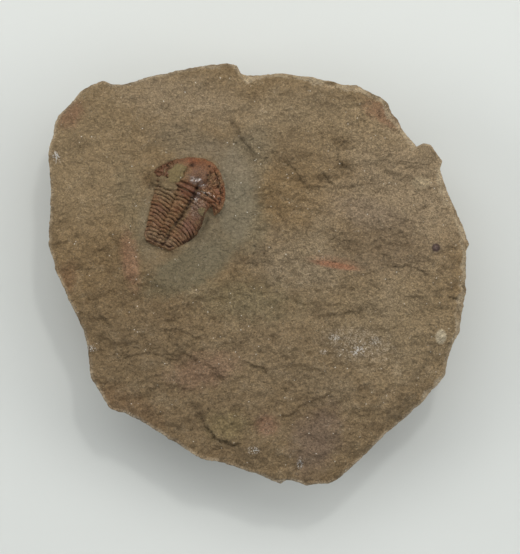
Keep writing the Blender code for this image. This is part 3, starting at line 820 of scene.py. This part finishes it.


# packed sand: a tone for each grain, the relief between grains, dull pale grains and rare bright flakes of
# mica, whose near-white colour is partly a painted glint
def makeSandGroup():
    group, given, out = newGroup("packedSand", [
        ("point", "Vector", None), ("grains", "Float", 3.0), ("flakes", "Float", 0.01),
    ], ["tone", "relief", "salt", "flake"])
    cells = put(group, "TexVoronoi", {"Vector": given["point"], "Scale": given["grains"]}, feature="F1")
    pick = put(group, "SeparateColor", {0: cells.outputs["Color"]}).outputs
    fine = noiseAt(group, given["point"], times(group, given["grains"], 0.8), 3.0, 0.75)
    tone = timesPlus(group, calc(group, "SUBTRACT", pick[0], 0.5), 0.5, fine)
    relief = timesPlus(group, calc(group, "SUBTRACT", 1.0, cells.outputs["Distance"]), 0.5, fine)
    small = ramp(group, cells.outputs["Distance"], 0.62, 0.36)
    salt = calc(group, "GREATER_THAN", pick[2], 0.93)
    rare = calc(group, "GREATER_THAN", pick[1], calc(group, "SUBTRACT", 1.0, given["flakes"]))
    group.links.new(tone, out["tone"])
    group.links.new(relief, out["relief"])
    group.links.new(times(group, salt, small), out["salt"])
    group.links.new(times(group, rare, small), out["flake"])
    return group


# thin scales broken off the face: their height, and the shaded line under each one's edge
def makeScaleGroup():
    group, given, out = newGroup("thinScales", [
        ("point", "Vector", None), ("size", "Float", 3.0), ("layers", "Float", 9.0),
    ], ["height", "creaseShade"])
    field = noiseAt(group, given["point"], calc(group, "DIVIDE", 1.0, given["size"]), 5.0, 0.58)
    field = times(group, field, given["layers"])
    part = calc(group, "FRACT", field)
    height = calc(group, "ADD", calc(group, "FLOOR", field), ramp(group, part, 0.84, 1.0))
    rising, falling = ramp(group, part, 0.66, 0.84), ramp(group, part, 1.0, 0.9)
    group.links.new(calc(group, "DIVIDE", height, given["layers"]), out["height"])
    group.links.new(times(group, rising, falling), out["creaseShade"])
    return group


stone = {
    "dark": (0.150, 0.103, 0.054, 1), "middle": (0.216, 0.154, 0.084, 1), "pale": (0.275, 0.207, 0.124, 1),
    "sideTint": (0.235, 0.172, 0.102, 1), "freshBreakAndLight": (0.42, 0.35, 0.25, 1),
    "salt": (0.42, 0.36, 0.265, 1), "flake": (0.66, 0.62, 0.53, 1), "olive": (0.186, 0.138, 0.064, 1),
    "roughTint": (1.09, 1.03, 0.93, 1), "lowTint": (1.07, 1.06, 1.05, 1), "frost": (0.62, 0.61, 0.58, 1),
    "roughness": 0.86, "grains": 3.4, "flakes": 0.0025,
    "grainBump": 0.00022, "scaleBump": 0.0016,
}
# stains, with patches of painted light and painted shade among them: centre, size, turn in degrees,
# raggedness, softness, strength, colour
stainsLightAndShade = {
    # painted light: the right, the top and the top left of the face are drawn paler where they face the
    # lamps
    "paintedLightRight": ((36.0, 17.0), (17.0, 19.0), 10, 1.2, 0.6, 0.66, (0.318, 0.260, 0.185, 1)),
    "paintedLightTop": ((14.0, 37.0), (19.0, 9.0), 0, 1.2, 0.6, 0.50, (0.300, 0.242, 0.160, 1)),
    "paleLeft": ((-43.0, 28.0), (13.0, 17.0), 0, 1.2, 0.6, 0.38, (0.290, 0.225, 0.138, 1)),
    "paintedLightTopLeft": ((-19.5, 43.8), (15.0, 6.0), 10, 1.2, 0.6, 0.5, (0.305, 0.245, 0.168, 1)),
    "paleLow": ((34.0, -12.0), (20.0, 13.0), 0, 1.4, 0.6, 0.45, (0.292, 0.230, 0.142, 1)),
    "paleMiddle": ((10.0, 4.5), (12.0, 8.0), 0, 1.6, 0.6, 0.55, (0.275, 0.228, 0.160, 1)),
    "paleFoot": ((16.5, -28.0), (7.0, 4.0), 15, 1.6, 0.6, 0.5, (0.268, 0.208, 0.130, 1)),
    # painted shade: the pits at the end of the shell's left cheek are drawn dark
    "cheekPitShade": ((-26.8, 23.2), (2.2, 1.7), 30, 2.6, 0.5, 0.55, (0.095, 0.058, 0.027, 1)),
    "duskLow": ((-12.0, -36.0), (34.0, 16.0), -12, 1.2, 0.6, 0.45, (0.168, 0.116, 0.062, 1)),
    "duskLeft": ((-33.0, -14.0), (13.0, 27.0), 8, 1.2, 0.6, 0.36, (0.150, 0.103, 0.054, 1)),
    "duskRight": ((31.5, 7.4), (10.0, 6.5), 0, 1.4, 0.6, 0.60, (0.160, 0.115, 0.070, 1)),
    "duskTop": ((1.0, 31.6), (14.0, 5.0), 0, 1.4, 0.6, 0.45, (0.160, 0.115, 0.066, 1)),
    "paleHeart": ((-1.0, -19.0), (10.0, 13.0), 0, 1.4, 0.6, 0.26, (0.280, 0.212, 0.128, 1)),
    "greyTop": ((-4.0, 27.0), (6.0, 10.5), 28, 0.9, 0.35, 0.75, (0.212, 0.176, 0.118, 1)),
    "greyRight": ((-4.5, 15.0), (6.0, 9.5), -20, 0.9, 0.3, 0.85, (0.196, 0.165, 0.108, 1)),
    "greyBelow": ((-17.0, 1.5), (12.5, 4.8), -28, 0.9, 0.3, 0.85, (0.150, 0.124, 0.074, 1)),
    "greyBeside": ((-13.5, 9.4), (5.0, 7.5), -20, 1.0, 0.4, 0.7, (0.168, 0.138, 0.086, 1)),
    "greyLeft": ((-31.0, 15.0), (3.8, 12.0), -14, 1.1, 0.5, 0.55, (0.190, 0.155, 0.096, 1)),
    "greyFront": ((-18.0, 33.5), (9.0, 3.6), 12, 1.1, 0.5, 0.5, (0.220, 0.181, 0.124, 1)),
    "pinkBloom": ((-32.2, 3.6), (2.0, 6.4), -8, 1.6, 0.5, 0.42, (0.292, 0.150, 0.103, 1)),
    "rustCornerLeft": ((-47.5, 40.8), (3.4, 3.6), 20, 1.4, 0.5, 0.55, (0.216, 0.111, 0.068, 1)),
    "rustCornerRight": ((31.8, 40.2), (5.4, 2.6), 28, 1.8, 0.5, 0.5, (0.240, 0.126, 0.082, 1)),
    "warmMiddle": ((-14.0, -24.0), (8.0, 4.0), -15, 1.8, 0.6, 0.42, (0.252, 0.146, 0.099, 1)),
    "warmLow": ((2.0, -37.5), (2.6, 2.4), 0, 1.6, 0.6, 0.5, (0.263, 0.138, 0.091, 1)),
    "oliveLow": ((-8.0, -38.0), (5.0, 3.6), 0, 1.6, 0.6, 0.5, (0.222, 0.175, 0.082, 1)),
    "plumLow": ((14.5, -41.5), (5.5, 8.5), 20, 1.6, 0.6, 0.5, (0.170, 0.119, 0.094, 1)),
    "plumRight": ((27.0, 15.6), (8.0, 3.2), 14, 1.8, 0.6, 0.4, (0.216, 0.170, 0.131, 1)),
    "rustLowLeft": ((-33.0, -33.0), (10.0, 3.6), 28, 1.6, 0.6, 0.45, (0.193, 0.115, 0.058, 1)),
    "rustLeft": ((-48.5, -1.5), (2.6, 4.5), 20, 1.4, 0.5, 0.5, (0.187, 0.105, 0.058, 1)),
    "greenMiddle": ((-3.0, -6.5), (11.0, 4.8), 6, 1.8, 0.7, 0.42, (0.185, 0.164, 0.094, 1)),
    "redHaze": ((19.0, 2.9), (6.0, 1.5), 9, 1.0, 0.5, 0.35, (0.30, 0.165, 0.105, 1)),
    "redStreak": ((19.2, 2.3), (5.4, 0.8), 10, 0.9, 0.4, 0.55, (0.33, 0.140, 0.080, 1)),
    "creamTop": ((40.6, 22.9), (2.4, 1.5), 0, 0.6, 0.3, 0.8, (0.41, 0.34, 0.235, 1)),
    "creamLow": ((45.6, -15.6), (1.3, 1.8), 0, 0.4, 0.25, 1.0, (0.50, 0.43, 0.31, 1)),
    "spotRing": ((44.2, 6.7), (1.5, 1.5), 0, 0.3, 0.2, 0.40, (0.27, 0.215, 0.150, 1)),
    "spotDark": ((44.2, 6.7), (1.05, 1.05), 0, 0.25, 0.15, 0.9, (0.070, 0.045, 0.045, 1)),
    "spotHeart": ((44.2, 6.7), (0.5, 0.5), 0, 0.6, 0.4, 0.6, (0.160, 0.120, 0.115, 1)),
    "darkPits": ((20.8, 33.0), (2.6, 1.6), 20, 1.8, 0.5, 0.55, (0.110, 0.074, 0.036, 1)),
    "darkPitsBelow": ((21.0, 27.4), (2.2, 1.3), -10, 1.8, 0.5, 0.50, (0.110, 0.074, 0.036, 1)),
    "limeRim": ((7.2, -52.0), (3.0, 0.6), 0, 1.6, 0.5, 0.6, (0.48, 0.45, 0.39, 1)),
}
# white crumbs clinging to the face: centre, size, turn in degrees, raggedness, softness, strength
frosts = {
    "haze": ((25.0, -17.6), (7.0, 3.6), 12, 2.4, 0.6, 0.22),
    "middle": ((24.6, -19.0), (1.7, 1.1), -20, 1.8, 0.5, 0.75),
    "top": ((19.0, -15.8), (1.2, 0.7), 10, 1.8, 0.5, 0.7),
    "right": ((29.2, -16.6), (1.4, 0.9), 10, 1.8, 0.5, 0.4),
    "left": ((16.2, -19.4), (0.8, 0.6), 0, 1.8, 0.5, 0.5),
    "south": ((-1.3, -43.9), (1.3, 0.8), 0, 1.8, 0.5, 0.8),
    "tip": ((10.3, -47.2), (0.7, 1.2), 0, 1.8, 0.5, 0.9),
    "corner": ((-50.6, 29.4), (0.9, 1.5), -15, 1.4, 0.4, 0.8),
    "lowLeft": ((-42.4, -18.6), (1.7, 0.7), 10, 1.4, 0.4, 0.8),
    "besideRibs": ((-28.0, 18.1), (0.7, 0.5), 20, 1.6, 0.4, 0.45),
    "chip": ((-30.9, 17.4), (0.4, 0.4), 0, 0.3, 0.3, 1.0),
}


def stoneColour(tree, point, sand, creaseShade, patchGroup):
    broad, cloudy = noiseAt(tree, point, 0.06, 3.0, 0.5), noiseAt(tree, point, 0.30, 5.0, 0.62)
    tone = timesPlus(tree, broad, 0.55, times(tree, cloudy, 0.9))
    low = blendColours(tree, ramp(tree, tone, 0.50, 0.70), stone["dark"], stone["middle"])
    colour = blendColours(tree, ramp(tree, tone, 0.72, 0.95), low, stone["pale"])
    for centre, size, turn, ragged, soft, strength, tint in stainsLightAndShade.values():
        mask = patchAt(tree, patchGroup, point, centre, size, turn, ragged, soft, 1.6 / min(size))
        colour = blendColours(tree, times(tree, mask, strength), colour, tint)
    side = painted(tree, "side")
    rim = painted(tree, "freshRimAndLight")
    cover = painted(tree, "cover")
    patchy = ramp(tree, noiseAt(tree, point, 0.35, 4.0, 0.6), 0.40, 0.60)
    colour = blendColours(tree, times(tree, side, 0.5), colour, stone["sideTint"])
    colour = blendColours(tree, times(tree, times(tree, side, patchy), 0.25),
                          colour, stone["freshBreakAndLight"])
    layers = put(tree, "Mapping", {"Vector": point, "Scale": (0.05, 0.05, 0.75)}).outputs[0]
    layers = ramp(tree, noiseAt(tree, layers, 1.0, 4.0, 0.6), 0.36, 0.62, 0.72, 1.22)
    layered = scaled(tree, colour, layers)
    colour = blendColours(tree, side, colour, layered)
    # paler broken rim, with painted light on the upper-right rim that faces the lamps
    rimPatchy = ramp(tree, noiseAt(tree, point, 0.22, 5.0, 0.65), 0.38, 0.56)
    colour = blendColours(tree, times(tree, times(tree, rim, rimPatchy), 0.75),
                          colour, stone["freshBreakAndLight"])
    colour = blendColours(tree, cover, colour, stone["olive"])
    rough = painted(tree, "rough")
    lowerHalf = patchAt(tree, patchGroup, point, (0.0, -27.0), (60.0, 27.0), 0.0, 1.0, 0.5, 0.08)
    tint = blendColours(tree, lowerHalf, stone["roughTint"], stone["lowTint"])
    warm = put(tree, "VectorMath", {0: colour, 1: tint}, operation="MULTIPLY").outputs[0]
    colour = blendColours(tree, rough, colour, warm)
    # painted shade: the foot of each ledge is drawn darker
    ledgeShade = painted(tree, "ledgeShade")
    ledgeShade = times(tree, ledgeShade, ramp(tree, sand["tone"], 0.2, 0.7, 0.9, 0.3))
    # painted shade: the colour is darkened along the creases under the edges of the thin scales
    shade = times(tree, ramp(tree, creaseShade, 0.0, 1.0, 1.0, 0.78), calc(tree, "SUBTRACT", 1.0, ledgeShade))
    strength = timesPlus(tree, rough, 0.55, 0.75)
    grain = timesPlus(tree, calc(tree, "SUBTRACT", sand["tone"], 0.5), strength, 1.045)
    colour = scaled(tree, colour, times(tree, grain, shade))
    salty = times(tree, sand["salt"], ramp(tree, cloudy, 0.4, 0.65, 0.08, 0.42))
    colour = blendColours(tree, salty, colour, stone["salt"])
    # mica flakes: pale mineral, drawn near white as a painted glint as well
    return blendColours(tree, sand["flake"], colour, stone["flake"])


# pale crumbs gather on the lighter grains
def addFrost(tree, point, sand, colour, patchGroup):
    crumbs = ramp(tree, sand["tone"], 0.52, 0.68)
    for centre, size, turn, ragged, soft, strength in frosts.values():
        mask = patchAt(tree, patchGroup, point, centre, size, turn, ragged, soft, 1.6 / min(size))
        share = times(tree, times(tree, mask, strength), crumbs)
        colour = blendColours(tree, share, colour, stone["frost"])
    return colour


def makeStone(patchGroup, sandGroup, scaleGroup):
    material, tree, surface = newMaterial("siltstone")
    point = objectPoint(tree)
    turned = put(tree, "Mapping", {"Vector": point, "Rotation": (0, 0, math.radians(-slab["lineation"])),
                                   "Scale": (0.7, 1.0, 1.0)}).outputs[0]
    sand = place(tree, sandGroup, point=point, grains=stone["grains"], flakes=stone["flakes"])
    large = place(tree, scaleGroup, point=turned, size=5.5, layers=11.0)
    small = place(tree, scaleGroup, point=turned, size=1.9, layers=8.0)
    creaseShade = calc(tree, "MAXIMUM", large["creaseShade"], times(tree, small["creaseShade"], 0.8))
    colour = stoneColour(tree, point, sand, creaseShade, patchGroup)
    tree.links.new(addFrost(tree, point, sand, colour, patchGroup), surface["Base Color"])
    roughness = timesPlus(tree, sand["tone"], 0.18, stone["roughness"] - 0.09)
    roughness = timesPlus(tree, sand["flake"], -0.5, roughness)
    tree.links.new(roughness, surface["Roughness"])
    scales = timesPlus(tree, small["height"], 0.5, large["height"])
    coarse = put(tree, "Bump", {"Height": scales, "Distance": stone["scaleBump"], "Strength": 0.8})
    rough = painted(tree, "rough")
    relief = timesPlus(tree, noiseAt(tree, turned, 1.4, 4.0, 0.65), 1.6, sand["relief"])
    relief = times(tree, relief, timesPlus(tree, rough, 0.7, 0.75))
    fine = put(tree, "Bump", {"Height": relief, "Distance": stone["grainBump"], "Strength": 0.9,
                              "Normal": coarse.outputs[0]})
    tree.links.new(fine.outputs[0], surface["Normal"])
    surface["Specular IOR Level"].default_value = 0.3
    return material


shellLook = {
    "brown": (0.158, 0.070, 0.030, 1), "tan": (0.206, 0.118, 0.055, 1), "red": (0.208, 0.072, 0.031, 1),
    "rose": (0.150, 0.074, 0.047, 1), "furrowShade": (0.034, 0.014, 0.006, 1), "silt": (0.178, 0.122, 0.058, 1),
    "roughness": 0.52, "bump": 0.00012, "glintPaint": (0.42, 0.36, 0.31, 1),
    "dullGloss": 0.04, "glossRoughness": 0.13, "glossBend": 2.2,
}
# tinted areas: centre (across, along), size, turn in degrees, raggedness, softness, strength, colour
shellTints = {
    "frontRim": ((3.0, 12.0), (6.0, 1.5), -12, 0.8, 0.5, 0.5, shellLook["red"]),
    "frontRed": ((-1.4, 11.3), (1.6, 1.0), -20, 0.9, 0.5, 0.65, (0.185, 0.060, 0.024, 1)),
    "frontSpot": ((-1.5, 10.4), (0.8, 0.8), 0, 0.9, 0.5, 0.75, (0.095, 0.026, 0.010, 1)),
    "rightCheek": ((7.8, 5.8), (1.9, 4.6), 25, 0.9, 0.5, 0.5, shellLook["red"]),
    "glabella": ((1.2, 9.9), (2.6, 2.0), 0, 1.2, 0.6, 0.7, (0.132, 0.062, 0.031, 1)),
    "duskGlabella": ((1.6, 7.2), (2.8, 1.4), 0, 1.0, 0.5, 0.55, (0.085, 0.040, 0.026, 1)),
    "cheekSilt": ((-4.4, 6.3), (2.8, 3.4), -20, 1.6, 0.6, 0.55, (0.180, 0.128, 0.060, 1)),
    "leftRim": ((-5.4, 9.9), (4.6, 0.9), -37, 1.0, 0.5, 0.65, (0.135, 0.056, 0.026, 1)),
    "duskRight": ((4.2, -3.6), (2.4, 4.6), 0, 1.0, 0.6, 0.46, (0.085, 0.038, 0.022, 1)),
    "leftCheek": ((-8.2, 5.6), (2.6, 4.2), -30, 1.4, 0.5, 0.80, (0.122, 0.050, 0.023, 1)),
    "tanFront": ((-5.2, 1.8), (3.2, 2.2), 0, 1.4, 0.6, 0.70, (0.195, 0.138, 0.070, 1)),
    "frontRings": ((-0.2, 4.2), (2.8, 1.9), 5, 0.8, 0.5, 0.7, (0.130, 0.045, 0.024, 1)),
    "darkPleura": ((2.4, 4.3), (1.0, 1.8), 10, 0.8, 0.5, 0.75, (0.055, 0.019, 0.016, 1)),
    "rosyRight": ((3.9, -4.2), (1.8, 1.3), 20, 1.2, 0.5, 0.6, (0.165, 0.075, 0.048, 1)),
    "rosyLeft": ((-4.4, -3.8), (1.8, 1.8), 0, 1.4, 0.5, 0.35, shellLook["rose"]),
    "paleTail": ((-1.4, -9.8), (5.0, 1.8), 0, 1.2, 0.5, 0.5, (0.185, 0.130, 0.074, 1)),
    "wornPlate": ((4.4, 1.0), (1.9, 2.2), 0, 1.2, 0.5, 0.55, (0.150, 0.088, 0.060, 1)),
    "siltFill": ((1.5, -2.6), (0.75, 3.6), 12, 1.2, 0.5, 0.7, (0.150, 0.098, 0.045, 1)),
}


# glossy areas: centre (across, along), size
shellGloss = (((1.5, 7.0), (2.2, 1.0)), ((5.2, 5.3), (1.8, 0.45)), ((2.9, 3.4), (0.6, 1.3)))


def makeShellMaterial(patchGroup, sandGroup):
    material, tree, surface = newMaterial("fossilShell")
    point = objectPoint(tree)
    body = turnedAbout(tree, point, (*shell["centre"], 0.0), heading)
    furrowShade = painted(tree, "furrowShade")
    sand = place(tree, sandGroup, point=point, grains=4.5, flakes=0.004)
    cloudy, fine = noiseAt(tree, point, 0.9, 5.0, 0.65), noiseAt(tree, point, 3.0, 4.0, 0.65)
    colour = blendColours(tree, ramp(tree, cloudy, 0.35, 0.65), shellLook["brown"], shellLook["tan"])
    for centre, size, turn, ragged, soft, strength, tint in shellTints.values():
        mask = patchAt(tree, patchGroup, body, centre, size, turn, ragged, soft, 0.9, 30.0)
        colour = blendColours(tree, times(tree, mask, strength), colour, tint)
    # painted shade: furrows, pits, steep sides and the edge of the shell are darkened almost to black
    depth = times(tree, furrowShade, ramp(tree, noiseAt(tree, point, 0.8, 3.0), 0.35, 0.6, 0.50, 1.30))
    depth = timesPlus(tree, calc(tree, "SUBTRACT", fine, 0.5), 0.7, depth)
    depth = times(tree, ramp(tree, depth, 0.12, 0.85), 0.88)
    colour = blendColours(tree, depth, colour, shellLook["furrowShade"])
    silted = times(tree, ramp(tree, cloudy, 0.50, 0.62), ramp(tree, furrowShade, 0.1, 0.6))
    colour = blendColours(tree, times(tree, silted, 0.45), colour, shellLook["silt"])
    worn = timesPlus(tree, sand["tone"], 0.5, times(tree, fine, 0.6))
    colour = scaled(tree, colour, ramp(tree, worn, 0.30, 0.80, 0.52, 1.50))
    # painted glints: pale specks on the worn plate of the front right ribs
    paintedGlints = patchAt(tree, patchGroup, body, (4.0, 1.8), (2.2, 3.0), 0.0, 1.0, 0.5, 1.0, 30.0)
    paintedGlints = times(tree, paintedGlints, ramp(tree, sand["tone"], 0.62, 0.74, 0.0, 0.4))
    colour = blendColours(tree, paintedGlints, colour, shellLook["glintPaint"])
    tree.links.new(colour, surface["Base Color"])
    dull = timesPlus(tree, furrowShade, 0.3, shellLook["roughness"])
    dull = timesPlus(tree, ramp(tree, cloudy, 0.35, 0.7), 0.2, dull)
    tree.links.new(dull, surface["Roughness"])
    gloss = shellLook["dullGloss"]
    for centre, size in shellGloss:
        mask = patchAt(tree, patchGroup, body, centre, size, 0.0, 0.6, 0.35, 1.0, 30.0)
        gloss = calc(tree, "MAXIMUM", gloss, mask)
    glints = ramp(tree, noiseAt(tree, point, 1.6, 3.0, 0.6), 0.36, 0.54, 0.35, 1.0)
    tree.links.new(times(tree, gloss, glints), surface["Coat Weight"])
    surface["Coat Roughness"].default_value = shellLook["glossRoughness"]
    surface["Coat IOR"].default_value = shellLook["glossBend"]
    relief = timesPlus(tree, fine, 1.5, sand["relief"])
    bump = put(tree, "Bump", {"Height": relief, "Distance": shellLook["bump"], "Strength": 0.8})
    tree.links.new(bump.outputs[0], surface["Normal"])
    surface["Specular IOR Level"].default_value = 0.3
    return material


table = {
    "size": 2.4, "shade": (0.665, 0.690, 0.670, 1), "colour": (0.685, 0.707, 0.688, 1), "roughness": 0.6,
}


def buildTable():
    material, tree, surface = newMaterial("paleTable")
    cloud = noiseAt(tree, put(tree, "TexCoord").outputs["Object"], 14.0)
    tree.links.new(blendColours(tree, cloud, table["shade"], table["colour"]), surface["Base Color"])
    surface["Roughness"].default_value = table["roughness"]
    surface["Specular IOR Level"].default_value = 0.2
    mesh = bpy.data.meshes.new("table")
    half = table["size"] / 2
    corners = [(-half, -half, 0), (half, -half, 0), (half, half, 0), (-half, half, 0)]
    mesh.from_pydata(corners, [], [(0, 1, 2, 3)])
    mesh.materials.append(material)
    addObject("table", mesh)


# azimuth and height in degrees, distance, width and depth in metres, power in watts
lamps = {
    "softWindow": (84.0, 58.0, 0.75, 1.30, 0.40, 3.4),
    "smallLamp": (70.0, 62.0, 0.75, 0.05, 0.05, 0.58),
    "rightFill": (0.0, 30.0, 0.85, 0.50, 0.40, 2.3),
    "leftFill": (176.0, 30.0, 0.85, 0.50, 0.40, 2.3),
}
room = {"colour": (0.95, 0.985, 1.0, 1), "strength": 0.365, "seen": 0.67}


def addLights():
    for name, (azimuth, height, away, width, depth, power) in lamps.items():
        lamp = bpy.data.lights.new(name, "AREA")
        lamp.shape, lamp.size, lamp.size_y = "RECTANGLE", width, depth
        lamp.energy, lamp.color = power, (1.0, 0.985, 0.96)
        item = addObject(name, lamp)
        around, up = math.radians(azimuth), math.radians(height)
        spot = Vector((math.cos(around) * math.cos(up), math.sin(around) * math.cos(up), math.sin(up)))
        item.location = spot * away
        item.rotation_euler = (-spot).to_track_quat("-Z", "Y").to_euler()
    world = bpy.data.worlds.new("paleRoom")
    world.use_nodes = True
    tree, glow = world.node_tree, world.node_tree.nodes["Background"].inputs
    glow["Color"].default_value = room["colour"]
    seen = put(tree, "LightPath").outputs["Is Camera Ray"]
    extra = room["seen"] - room["strength"]
    tree.links.new(timesPlus(tree, seen, extra, room["strength"]), glow["Strength"])
    bpy.context.scene.world = world
    bpy.context.scene.view_settings.view_transform = "Standard"


view = {"away": 0.60, "centre": (0.30, -0.65), "height": 138.5}


def addCamera():
    data = bpy.data.cameras.new("overhead")
    data.sensor_width = 36.0
    data.lens = 36.0 * view["away"] / (view["height"] * mm)
    data.clip_start = 0.01
    item = addObject("overhead", data)
    item.location = (view["centre"][0] * mm, view["centre"][1] * mm, slab["top"] * mm + view["away"])
    bpy.context.scene.camera = item


patchGroup, sandGroup, scaleGroup = makePatchGroup(), makeSandGroup(), makeScaleGroup()
print("stain, sand and scale groups are ready")
slabPiece = buildSlab(makeStone(patchGroup, sandGroup, scaleGroup))
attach(slabPiece, "root")
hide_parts("rock_matrix")
shellPiece = buildShell(makeShellMaterial(patchGroup, sandGroup))
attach(shellPiece, "root")
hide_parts("trilobite")
print("shell:", len(shellPiece.data.vertices), "points")
buildTable()
addLights()
addCamera()
print("table, lights and camera are in place")
